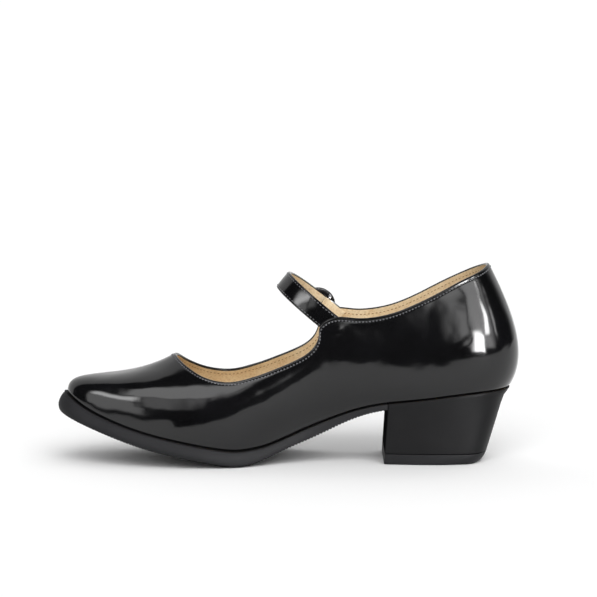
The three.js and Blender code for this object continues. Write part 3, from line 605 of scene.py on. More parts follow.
def along_path(points: np.ndarray, count: int) -> np.ndarray:
    """Return count points spaced evenly along a path."""
    length = lengths_along(points)
    at = np.linspace(0, length[-1], count)
    return np.stack([np.interp(at, length, points[:, k]) for k in range(3)], -1)


def path_length(points: np.ndarray) -> float:
    """Return the length of a path in millimetres."""
    return float(np.linalg.norm(np.diff(points, axis=0), axis=1).sum())


def drawn_through(points: Sequence[np.ndarray], fine: int = 40) -> np.ndarray:
    """Return a dense smooth path through points, tighter where they stand close.

    Args:
        points: Points that the path passes.
        fine: Number of steps from one point to the next.

    Returns:
        The path's points.
    """
    p = np.array(points, float)
    p = np.vstack([2 * p[0] - p[1], p, 2 * p[-1] - p[-2]])
    path = []
    for a, b, c, d in zip(p, p[1:], p[2:], p[3:]):
        first, middle, final = (math.sqrt(np.linalg.norm(v)) for v in (b - a, c - b, d - c))
        start = (b - a) / first - (c - a) / (first + middle) + (c - b) / middle
        end = (c - b) / middle - (d - b) / (middle + final) + (d - c) / final
        start, end = start * middle, end * middle
        t = np.linspace(0, 1, fine, endpoint=False)[:, None]
        bend = (-3 * b + 3 * c - 2 * start - end) * t**2 + (2 * b - 2 * c + start + end) * t**3
        path.append(b + start * t + bend)
    path.append(p[-2][None])
    return np.vstack(path)


def stitches(
    name: str,
    path: np.ndarray,
    out: np.ndarray,
    last: Last,
    pitch: float = 2.0,
    share: float = 0.72,
    radius: float = 0.26,
) -> bpy.types.Object:
    """Lay a row of thread stitches along a path as one joined mesh.

    Args:
        name: Name of the piece.
        path: Points on the leather's face, in millimetres.
        out: Direction out of the leather at each point.
        last: The shoe's sizes, whose shift leads to the part's axes.
        pitch: Distance from one stitch to the next.
        share: Share of the pitch that a stitch covers.
        radius: Half the thread's thickness.

    Returns:
        The row of stitches.
    """
    count = max(2, int(path_length(path) / pitch))
    length = lengths_along(path)
    vertices, faces = [], []
    sides = STITCH_SIDES
    angles = np.linspace(0, 2 * math.pi, sides, endpoint=False)
    for i in range(count):
        middle = (i + 0.5) * length[-1] / count
        where = [middle + along * pitch * share for along, _, _ in STITCH]
        points = np.stack([np.interp(where, length, path[:, k]) for k in range(3)], -1)
        normal = unit(np.array([np.interp(middle, length, out[:, k]) for k in range(3)]))
        along = unit(points[-1] - points[0])
        across = unit(np.cross(along, normal))
        base = len(vertices)
        for point, (_, wide, lift) in zip(points, STITCH):
            centre = point + normal * radius * lift
            for angle in angles:
                ring = math.cos(angle) * across + math.sin(angle) * normal * STITCH_FLAT
                vertices.append(centre + ring * radius * wide)
        for k in range(len(STITCH) - 1):
            for j in range(sides):
                a, b = base + k * sides + j, base + k * sides + (j + 1) % sides
                faces.append((a, b, b + sides, a + sides))
        faces.append(tuple(base + j for j in range(sides))[::-1])
        end = base + (len(STITCH) - 1) * sides
        faces.append(tuple(end + j for j in range(sides)))
    mesh = bpy.data.meshes.new(name)
    mesh.from_pydata([tuple((v + np.array(last.shift)) * MM) for v in vertices], [], faces)
    mesh.update()
    piece = bpy.data.objects.new(name, mesh)
    bpy.context.scene.collection.objects.link(piece)
    close_seams(piece)
    smooth(piece, 60)
    return piece


# Materials


def linear(colour: str) -> tuple[float, float, float, float]:
    """Turn an sRGB hex colour into linear values with full alpha."""
    channels = [int(colour[i : i + 2], 16) / 255 for i in (1, 3, 5)]
    low = [c / 12.92 if c <= 0.04045 else ((c + 0.055) / 1.055) ** 2.4 for c in channels]
    return (*low, 1.0)


def add_node(
    tree: bpy.types.NodeTree,
    kind: str,
    inputs: Optional[dict] = None,
    stops: Sequence[tuple[float, str]] = (),
    **settings: str,
) -> bpy.types.Node:
    """Add a node with its settings, and set or link its inputs.

    Args:
        tree: Where the node goes.
        kind: The node's type name.
        inputs: For each input a value, an output to link, or a node to link by its first output.
        stops: Places and hex colours of a colour ramp.
        settings: Attributes to set on the node.

    Returns:
        The new node.
    """
    node = tree.nodes.new(kind)
    for name, value in settings.items():
        setattr(node, name, value)
    if stops:
        for element, (place, colour) in zip(node.color_ramp.elements, stops):
            element.position = place
            element.color = linear(colour)
    for name, value in (inputs or {}).items():
        if isinstance(value, bpy.types.Node):
            tree.links.new(value.outputs[0], node.inputs[name])
        elif isinstance(value, bpy.types.NodeSocket):
            tree.links.new(value, node.inputs[name])
        else:
            node.inputs[name].default_value = value
    return node


def per_mm(size: float) -> float:
    """Return the texture scale whose features are size millimetres apart."""
    return 1 / (size * MM)


def new_material(name: str) -> tuple[bpy.types.Material, bpy.types.NodeTree, bpy.types.NodeSocket]:
    """Return an empty material, its nodes and the object coordinates."""
    material = bpy.data.materials.new(name)
    material.use_nodes = True
    tree = material.node_tree
    tree.nodes.clear()
    place = add_node(tree, "ShaderNodeTexCoord").outputs["Object"]
    return material, tree, place


class Pattern(Enum):
    """What a layer of grain is made of, by its texture node."""

    NOISE = "ShaderNodeTexNoise"
    CELLS = "ShaderNodeTexVoronoi"


@dataclass(frozen=True)
class Grain:
    """One layer of relief, with features of a size and a depth in millimetres."""

    size: float
    depth: float
    strength: float
    detail: float = 2
    roughness: float = 0.5
    pattern: Pattern = Pattern.NOISE

    def bent(self, tree: bpy.types.NodeTree, place: bpy.types.NodeSocket, below: dict) -> bpy.types.Node:
        """Return the relief over what lies below it.

        Args:
            tree: The material's nodes.
            place: The object coordinates.
            below: The input for the layer below, if there is one.

        Returns:
            The bent normal.
        """
        settings = {"feature": "DISTANCE_TO_EDGE"} if self.pattern is Pattern.CELLS else {}
        look = {"Scale": per_mm(self.size), "Detail": self.detail, "Roughness": self.roughness}
        texture = add_node(tree, self.pattern.value, {"Vector": place, **look}, **settings)
        relief = {"Height": texture, "Distance": self.depth * MM, "Strength": self.strength}
        return add_node(tree, "ShaderNodeBump", {**relief, **below})


@dataclass(frozen=True)
class Finish:
    """What all finishes share: a colour, perhaps clouded, a shine, and layers of grain."""

    name: str
    colour: str
    roughness: float
    cloudy: str = ""
    # Size of the clouds in millimetres, and the noise values at which both colours are full
    cloud: float = 18
    cloud_detail: float = 3
    cloud_roughness: float = 0.5
    cloud_range: tuple[float, float] = (0.3, 0.75)
    # How much rougher the surface is where the cloud is full
    haze: float = 0
    gloss: float = 0.5
    ior: float = 1.5
    metal: float = 0
    grains: tuple[Grain, ...] = ()

    def material(self) -> bpy.types.Material:
        """Return the material."""
        material, tree, place = new_material(self.name)
        shine = {
            "Base Color": linear(self.colour),
            "Roughness": self.roughness,
            "Specular IOR Level": self.gloss,
            "IOR": self.ior,
            "Metallic": self.metal,
        }
        if self.cloudy or self.haze:
            noise = {"Vector": place, "Scale": per_mm(self.cloud)}
            noise.update({"Detail": self.cloud_detail, "Roughness": self.cloud_roughness})
            cloud = add_node(tree, "ShaderNodeTexNoise", noise)
        if self.cloudy:
            stops = list(zip(self.cloud_range, (self.colour, self.cloudy)))
            base = add_node(tree, "ShaderNodeValToRGB", {"Fac": cloud}, stops)
            shine["Base Color"] = self.tinted(tree, place, base)
        if self.haze:
            span = {"Value": cloud, "To Min": self.roughness, "To Max": self.roughness + self.haze}
            shine["Roughness"] = add_node(tree, "ShaderNodeMapRange", span)
        below = {}
        for grain in self.grains:
            below = {"Normal": grain.bent(tree, place, below)}
        shader = add_node(tree, "ShaderNodeBsdfPrincipled", {**shine, **below})
        add_node(tree, "ShaderNodeOutputMaterial", {"Surface": shader})
        return material

    def tinted(
        self, tree: bpy.types.NodeTree, place: bpy.types.NodeSocket, base: bpy.types.Node
    ) -> bpy.types.Node | bpy.types.NodeSocket:
        """Return the clouded colour as it is. A finish with a tint of its own does more."""
        return base


@dataclass(frozen=True)
class PatentLeather(Finish):
    """Black leather under a poured polyurethane film: a deep black with a mirror gloss, a little uneven.

    The leather's swell under the film bends the reflections, the film's own skin hardly does.
    """

    name: str = "patent_leather_black"
    colour: str = "#0B0B0C"
    roughness: float = 0.07
    cloudy: str = "#101012"
    cloud: float = 22
    haze: float = 0.07
    grains: tuple[Grain, ...] = (Grain(20, 2.2, 0.3, detail=1.5), Grain(0.7, 0.018, 0.4))


@dataclass(frozen=True)
class LiningLeather(Finish):
    """Undyed calf lining, brushed smooth: warm tan, matt, with a fine pebble and uneven colour."""

    name: str = "lining_leather_tan"
    colour: str = "#DDC49C"
    roughness: float = 0.72
    cloudy: str = "#EEDDBC"
    cloud: float = 14
    cloud_detail: float = 4
    cloud_roughness: float = 0.6
    cloud_range: tuple[float, float] = (0.3, 0.7)
    ior: float = 1.45
    grains: tuple[Grain, ...] = (
        Grain(0.8, 0.12, 0.35, detail=0, pattern=Pattern.CELLS),
        Grain(0.5, 0.08, 0.3, detail=3, roughness=0.6),
    )
    pore_colour: str = "#C9AE84"
    speckle: float = 1.1

    def tinted(
        self, tree: bpy.types.NodeTree, place: bpy.types.NodeSocket, base: bpy.types.Node
    ) -> bpy.types.NodeSocket:
        """Return the colour speckled by the pores.

        Args:
            tree: The material's nodes.
            place: The object coordinates.
            base: The clouded colour.

        Returns:
            The speckled colour.
        """
        noise = {"Vector": place, "Scale": per_mm(self.speckle), "Detail": 4, "Roughness": 0.75}
        speckle = add_node(tree, "ShaderNodeTexNoise", noise)
        stops = [(0.36, self.pore_colour), (0.52, "#FFFFFF")]
        tint = add_node(tree, "ShaderNodeValToRGB", {"Fac": speckle}, stops)
        # Inputs 0, 6 and 7 and output 2 are the mix node's share and colour sockets
        inputs = {0: 0.5, 6: base, 7: tint}
        mixed = add_node(tree, "ShaderNodeMix", inputs, data_type="RGBA", blend_type="MULTIPLY")
        return mixed.outputs[2]


@dataclass(frozen=True)
class MouldedRubber(Finish):
    """Moulded sole rubber, matt from its mould: dark grey-black with a faint speckle."""

    name: str = "sole_rubber_black"
    colour: str = "#1D1D1F"
    roughness: float = 0.66
    cloudy: str = "#222224"
    gloss: float = 0.16
    grains: tuple[Grain, ...] = (Grain(0.45, 0.05, 0.35, roughness=0.6),)


@dataclass(frozen=True)
class HeelLacquer(Finish):
    """Sprayed satin lacquer over an ABS heel: near black, with the fine grain of the spray."""

    name: str = "heel_lacquer_black"
    colour: str = "#1C1C1D"
    roughness: float = 0.48
    cloudy: str = "#1F1F20"
    cloud: float = 16
    gloss: float = 0.07
    grains: tuple[Grain, ...] = (Grain(0.6, 0.03, 0.3, roughness=0.55),)


@dataclass(frozen=True)
class BlackEnamel(Finish):
    """Stoved enamel on a cast zinc buckle: black and glossy, softly rounded by the paint's orange peel."""

    name: str = "stoved_enamel_black"
    colour: str = "#0E0E10"
    roughness: float = 0.34
    cloudy: str = "#151517"
    cloud: float = 5
    cloud_range: tuple[float, float] = (0.3, 0.8)
    gloss: float = 0.3
    grains: tuple[Grain, ...] = (Grain(0.8, 0.04, 0.5, detail=1.5),)


@dataclass(frozen=True)
class PlatedWire(Finish):
    """Nickel-plated steel wire: bright, a little rougher along the faint lines left by drawing."""

    name: str = "nickel_plated_wire"
    colour: str = "#D2D3D6"
    roughness: float = 0.18
    cloud: float = 0.3
    cloud_detail: float = 2
    haze: float = 0.12
    metal: float = 1


@dataclass(frozen=True)
class SewingThread(Finish):
    """Bonded nylon thread: twisted and slightly glossy."""

    roughness: float = 0.4
    grains: tuple[Grain, ...] = (Grain(0.25, 0.05, 0.5),)


@dataclass(frozen=True)
class StudioPaper(Finish):
    """Matt white paper of the studio's floor: pale and even."""

    name: str = "studio_paper_white"
    colour: str = "#FAFAFA"
    roughness: float = 0.9
    cloudy: str = "#FCFCFC"
    cloud: float = 400
    cloud_detail: float = 2
    cloud_range: tuple[float, float] = (0.2, 0.8)
    gloss: float = 0.1


@dataclass(frozen=True)
class BlackCard(Finish):
    """Black card: takes all light and gives no gloss."""

    name: str = "card_black"
    colour: str = "#050505"
    roughness: float = 1
    gloss: float = 0


class Finishes:
    """The shoe's materials, made once each."""

    def __init__(self) -> None:
        """Make every finish."""
        self.patent = PatentLeather().material()
        self.lining = LiningLeather().material()
        self.sole = MouldedRubber().material()
        self.lift = MouldedRubber("lift_rubber_black", colour="#1B1B1D", roughness=0.55).material()
        self.heel = HeelLacquer().material()
        self.breast = HeelLacquer("breast_paint_matt", colour="#131314", roughness=0.9, gloss=0.0).material()
        self.enamel = BlackEnamel().material()
        self.wire = PlatedWire().material()
        # The black thread is coloured mid grey: a painted highlight that stands for the glints on its gloss
        self.glint_painted_thread = SewingThread("nylon_thread_black_painted_glints", "#59595D").material()
        self.tan_thread = SewingThread("nylon_thread_tan", "#8E6C42").material()


def dress(piece: bpy.types.Object, slot: str, nodes: Sequence[str], *materials: bpy.types.Material) -> None:
    """Give a piece its materials and its body, and hide the nodes that it stands for.

    Args:
        piece: The finished piece.
        slot: The record's material slot. Not used.
        nodes: Solids that the piece replaces.
        materials: The piece's materials, in the order of its faces' numbers.
    """
    for material in materials:
        piece.data.materials.append(material)
    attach(piece, "root")
    if nodes:
        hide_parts(*nodes)
    LOG.info("%s: %d faces", piece.name, len(piece.data.polygons))


# Sub-assemblies


@dataclass(frozen=True)
class Crease:
    """A soft crease of the inner quarter between two points of the side view. Below zero it swells."""

    start: tuple[float, float]
    end: tuple[float, float]
    depth: float
    width: float


@dataclass
class Upper:
    """The lasted upper with its folded topline, lining, back seam and stitches."""

    last: Last
    finishes: Finishes
    steps: int = 420
    outer_steps: int = 55
    fold_steps: int = 12
    inner_steps: int = 33
    bead: float = 0.04
    bead_at: float = 1.2
    bead_width: float = 0.7
    stitch_at: float = 2.1
    groove: float = 0.12
    groove_width: float = 0.45
    lining_stitch_at: float = 3.2
    lining_stitch_lift: float = 0.02
    seam_depth: float = 0.25
    seam_width: float = 0.55
    tuck: float = 0.45
    tuck_width: float = 0.9
    # Share of a crease's depth that is left at its ends, and share of its length that they take
    crease_end: float = 0.35
    crease_flat: float = 0.05
    creases: tuple[Crease, ...] = (
        Crease((208, 59), (222, 68), depth=0.13, width=1.3),
        Crease((222, 68), (224, 71), depth=0.1, width=1.2),
        Crease((243, 59), (247, 67), depth=0.07, width=1.0),
        # The strap's sewn end lifts the quarter a little
        Crease((150, 72), (157, 76), depth=-0.4, width=2.6),
    )

    def rows(self, lengths: np.ndarray) -> tuple[np.ndarray, np.ndarray, int]:
        """Return where the wall's rows lie.

        Args:
            lengths: Length of each rib.

        Returns:
            The rows' distances below the topline for each rib, their depths in the wall, and the row
            from which the lining shows.
        """
        wall = self.last.wall
        middle = np.linspace(0, 1, self.outer_steps + 1)[1:-1]
        turn = np.linspace(0, math.pi, self.fold_steps + 1)
        fold = wall / 2 * (1 - np.sin(turn))
        back = np.linspace(0, 1, self.inner_steps + 1)[1:]
        down = []
        for length in lengths:
            foot = length - np.array(FOOT_ROWS)
            body = foot[-1] + (TOP_ROWS[0] - foot[-1]) * middle
            lining = LINING_ROWS[-1] + (length - LINING_ROWS[-1]) * back
            down.append(np.concatenate([foot, body, TOP_ROWS, fold, LINING_ROWS, lining]))
        outer = len(FOOT_ROWS) + len(middle) + len(TOP_ROWS)
        inner = len(LINING_ROWS) + len(back)
        depth = np.concatenate([np.zeros(outer), wall / 2 * (1 - np.cos(turn)), np.full(inner, wall)])
        return np.array(down), depth, outer + self.fold_steps - 1

    def relief(self, points: np.ndarray, down: np.ndarray, up: np.ndarray, around: np.ndarray) -> np.ndarray:
        """Return how far the outer face stands out or, below zero, in.

        Args:
            points: Points of the plain outer face.
            down: Distance below the topline.
            up: Distance above the feather line.
            around: Places round the shoe.

        Returns:
            Millimetres outwards at each point.
        """
        out = self.bead * bump(down - self.bead_at, self.bead_width)
        out -= self.groove * bump(down - self.stitch_at, self.groove_width)
        out -= self.tuck * bump(up, self.tuck_width)
        from_back = np.minimum(around, self.last.period - around)
        out -= self.seam_depth * bump(from_back, self.seam_width)
        inner = points[..., 1] < 0
        for crease in self.creases:
            start = np.array(crease.start)
            reach = np.array(crease.end) - start
            flat = points[..., [0, 2]] - start
            share = np.clip(flat @ reach / (reach @ reach), 0, 1)
            distance = np.linalg.norm(flat - share[..., None] * reach, axis=-1)
            swell = np.sin(math.pi * np.clip(share, self.crease_flat, 1 - self.crease_flat))
            fade = self.crease_end + (1 - self.crease_end) * swell
            out -= inner * crease.depth * fade * bump(distance, crease.width)
        return out

    def build(self) -> None:
        """Build and dress the upper and its stitches."""
        last = self.last
        around = np.linspace(0, last.period, self.steps + 1)
        climbs, lengths = last.rib_lengths(around)
        down, depth, lined_from = self.rows(lengths[:, -1])
        up = lengths[:, -1:] - down
        climb = np.array([np.interp(u, row, climbs) for u, row in zip(up, lengths)])
        grid = np.broadcast_to(around[:, None], climb.shape)
        points = last.rib_point(grid, climb)
        # The outer half of the fold still belongs to the outer face
        outer = depth < last.wall / 2 + 1e-9
        out = self.relief(points, down, up, grid) * outer
        walls = points + last.inward(grid, climb) * (depth - out)[..., None]
        walls[-1] = walls[0]
        places = np.concatenate([walls, walls[:, :1]], 1)

        def face_finish(row: np.ndarray, column: np.ndarray) -> np.ndarray:
            """Leather on the outer face and the fold, lining inside."""
            return (column >= lined_from) & (column < places.shape[1] - 2)

        upper = shaped_grid("upper_leather", places, last, face_finish, angle=50)
        dress(upper, "patent_leather", ["upper"], self.finishes.patent, self.finishes.lining)
        self.sew(around)

    def face_line(self, around: np.ndarray, down: float, depth: float) -> tuple[np.ndarray, np.ndarray]:
        """Return a line round the wall and the direction into it.

        Args:
            around: Places round the shoe.
            down: Distance below the topline.
            depth: Depth in the wall.

        Returns:
            Points of the line and directions inward.
        """
        climbs, lengths = self.last.rib_lengths(around)
        climb = np.array([np.interp(row[-1] - down, row, climbs) for row in lengths])
        inward = self.last.inward(around, climb)
        return self.last.rib_point(around, climb) + inward * depth, inward

    def sew(self, around: np.ndarray) -> None:
        """Sew the topline outside and the lining inside."""
        last = self.last
        line, inward = self.face_line(around, self.stitch_at, self.groove)
        row = stitches("topline_stitches", line, -inward, last, pitch=1.85, share=0.64, radius=0.4)
        dress(row, "patent_leather", [], self.finishes.glint_painted_thread)
        line, inward = self.face_line(around, self.lining_stitch_at, last.wall + self.lining_stitch_lift)
        row = stitches("lining_stitches", line, inward, last, pitch=2.2, share=0.6, radius=0.22)
        dress(row, "tan_lining", [], self.finishes.tan_thread)


@dataclass
class Sole:
    """The outsole with its swelled edge and fine tread, and the insole with its sock."""

    last: Last
    finishes: Finishes
    steps: int = 720
    columns: int = 20
    breast_at: float = 0.714
    tread_pitch: float = 1.7
    tread_depth: float = 0.65
    edge_steps: int = 14
    insole_steps: int = 180
    insole_columns: int = 24
    insole_thickness: float = 2
    insole_room: float = 0.4
    # Rounding of the insole's edge and its width as a share of half the insole, and the dish between
    insole_round: float = 0.5
    insole_round_width: float = 0.07
    insole_dish: float = 0.25

    def edge(self, around: np.ndarray) -> np.ndarray:
        """Return the edge's points from the top corner to the tread, for each place."""
        last = self.last
        knots = np.arange(len(SOLE_EDGE))
        fine = np.linspace(0, len(SOLE_EDGE) - 1, self.edge_steps + 1)
        outs, ups = (SmoothCurve(knots, shares, False)(fine) for shares in zip(*SOLE_EDGE))
        x = last.of("foot_x", around)
        thick = last.edge_thickness(x) * (1 - last.edge_lift / last.forepart_edge)
        points = []
        for row, (out, up) in enumerate(zip(outs, ups)):
            point = last.edge_point(around, out * last.margin(x))
            # The corner lies in the sole's upper face, the edge below it follows the feather line
            seat = last.seat_height(point[:, 0] if row == 0 else x)
            point[:, 2] = seat - (1 - up) * thick
            points.append(point)
        return np.stack(points, 1)

    def tread(self, x: np.ndarray) -> np.ndarray:
        """Return how deep the tread's fine grooves cut at x."""
        groove = 0.5 - 0.5 * np.cos(2 * math.pi * x / self.tread_pitch)
        return self.tread_depth * groove**2

    def build(self) -> None:
        """Build and dress the outsole and the insole."""
        self.build_outsole()
        self.build_insole()

    def build_outsole(self) -> None:
        """Build the outsole with transverse tread ribs cut into its underside."""
        last = self.last
        start = last.inner_at(self.breast_at * last.length - last.clearance)
        inner = np.linspace(start, last.toe, self.steps + 1)
        near, far = self.edge(inner), self.edge(last.opposites(inner, last.toe))
        top = spread_across(near[:, 0], far[:, 0], self.columns)
        top[:, 1:-1, 2] = last.seat_height(top[:, 1:-1, 0])
        low = spread_across(near[:, -1], far[:, -1], self.columns)
        low[:, 1:-1, 2] = last.tread_height(low[:, 1:-1, 0])
        low[..., 2] += self.tread(low[..., 0])
        for side in (near, far):
            for row, climb in enumerate(TREAD_CLIMB, 1):
                side[:, -row, 2] += self.tread(side[:, -row, 0]) * climb
        rings = wrapped(top, far, low, near)
        piece = shaped_grid("outsole_rubber", capped(rings, final=False), last, angle=35)
        dress(piece, "sole_rubber", ["outsole"], self.finishes.sole)

    def build_insole(self) -> None:
        """Build the insole board under its tan sock, rounded at the edge and softly dished."""
        last = self.last
        inner = np.linspace(0, last.toe, self.insole_steps + 1)
        outer = last.opposites(inner, last.toe)
        outer[0] = last.period
        inset = -(last.wall + last.clearance + self.insole_room)
        near, far = (last.edge_point(side, np.full(len(side), inset)) for side in (inner, outer))
        low = spread_across(near, far, self.insole_columns)
        low[..., 2] = last.seat_height(low[..., 0]) + last.clearance
        high = low.copy()
        across = np.abs(np.linspace(-1, 1, self.insole_columns + 1))
        high[..., 2] += self.insole_thickness - self.insole_dish * (1 - across**2)
        high[..., 2] -= self.insole_round * bump(1 - across, self.insole_round_width)
        rings = np.concatenate([high, low[:, ::-1]], 1)
        piece = shaped_grid("insole_sock", capped(rings, first=False, final=False), last, angle=50)
        dress(piece, "tan_lining", ["insole"], self.finishes.lining)


@dataclass
class Heel:
    """The block heel and its rubber lift."""

    last: Last
    finishes: Finishes
    breast_at: float = 0.714
    tip_height: float = 5.6
    breast_pitch: float = 2.2
    back_pitch: float = 12
    back_tuck: float = 2.2
    tuck_reach: float = 0.12
    side_taper: float = 1.4
    square: float = 0.5
    corner: float = 0.5
    tip_round: float = 3
    tip_side_round: float = 0.45
    # How far from the middle the taper of the sides is full
    side_fade: float = 20
    steps: int = 90
    columns: int = 18
    tip_steps: int = 12

    def outline(self, around: np.ndarray, down: np.ndarray, inset: np.ndarray) -> np.ndarray:
        """Return points of the heel's outline.

        Args:
            around: Places round the shoe.
            down: Share of the way down from the seat to the floor.
            inset: How far in from the outline.

        Returns:
            The points, still level with the floor.
        """
        last = self.last
        point = last.edge_point(around, last.margin(last.length) - inset)
        breast = self.breast_at * last.length
        along = (point[:, 0] - breast) / (last.of("foot_x", 0.0) - breast)
        point[:, 0] -= (self.breast_pitch + along * (self.back_pitch - self.breast_pitch)) * down
        point[:, 0] -= self.back_tuck * along**3 * np.clip(down / self.tuck_reach, 0, 1)
        point[:, 1] *= 1 + self.square * np.maximum(along, 0) ** 6 * down
        side = np.sign(point[:, 1]) * np.minimum(np.abs(point[:, 1]) / self.side_fade, 1)
        point[:, 1] -= side * self.side_taper * down
        return point

    def block(self, name: str, levels: Sequence[tuple[Spread, Spread]]) -> bpy.types.Object:
        """Build a part of the heel from its levels.

        Args:
            name: Name of the piece.
            levels: For each level from the top, its height and its inset as functions of the points.

        Returns:
            The piece.
        """
        last = self.last
        breast = self.breast_at * last.length
        first = last.inner_at(breast)
        ease = last.inner_at(breast + self.corner)
        inner = np.concatenate([[first], ease * (1 - np.linspace(0, 1, self.steps + 1))])
        outer = last.opposites(inner, last.period)
        corner = np.zeros(len(inner))
        corner[0] = self.corner
        edges = []
        for around in (inner, outer):
            rings = []
            plain = self.outline(around, np.zeros(len(around)), np.zeros(len(around)))
            for height, inset in levels:
                down = 1 - height(plain) / last.seat_height(plain[:, 0])
                ring = self.outline(around, down, inset(plain) + corner)
                ring[:, 2] = height(ring)
                rings.append(ring)
            edges.append(np.stack(rings, 1))
        near, far = edges
        top = spread_across(near[:, 0], far[:, 0], self.columns)
        low = spread_across(near[:, -1], far[:, -1], self.columns)
        for row in range(len(inner)):
            top[row, 1:-1, 2] = levels[0][0](top[row])[1:-1]
            low[row, 1:-1, 2] = levels[-1][0](low[row])[1:-1]
        rings = wrapped(top, far, low, near)

        def face_finish(row: np.ndarray, column: np.ndarray) -> np.ndarray:
            """The second finish on the breast, the first on the rest."""
            return row < 1

        return shaped_grid(name, capped(rings, final=False), last, face_finish, angle=32)

    def build(self) -> None:
        """Build and dress the heel block and the lift."""
        last = self.last
        base = self.tip_height + last.clearance
        breast = self.breast_at * last.length
        reach = last.of("foot_x", 0.0) - breast
        spare = self.tip_round - self.tip_side_round

        def level(share: float, inset: float) -> tuple[Spread, Spread]:
            """Return a level of the block, a share of the way down."""
            return (
                lambda p: last.seat_height(p[:, 0]) + (base - last.seat_height(p[:, 0])) * share,
                lambda p: np.full(len(p), inset),
            )

        def tip_level(height: float, inset: float) -> tuple[Spread, Spread]:
            """Return a level of the lift, rounded most at the back."""

            def rounding(points: np.ndarray) -> np.ndarray:
                """Return the inset, which grows from the breast to the back."""
                behind = np.clip((points[:, 0] - breast) / reach, 0, 1)
                return inset * (self.tip_side_round + spare * behind**3)

            return lambda p: np.full(len(p), height * self.tip_height), rounding

        block = self.block("heel_block_lacquered", [level(*row) for row in HEEL_LEVELS])
        dress(block, "heel_lacquer", ["heel_block"], self.finishes.heel, self.finishes.breast)
        knots = np.arange(len(TIP_ROUND))
        fine = np.linspace(0, len(TIP_ROUND) - 1, self.tip_steps + 1)
        heights, insets = (SmoothCurve(knots, shares, False)(fine) for shares in zip(*TIP_ROUND))
        tip = self.block("heel_lift_rubber", [tip_level(*row) for row in zip(heights, insets)])
        dress(tip, "lift_rubber", ["top_piece"], self.finishes.lift, self.finishes.lift)


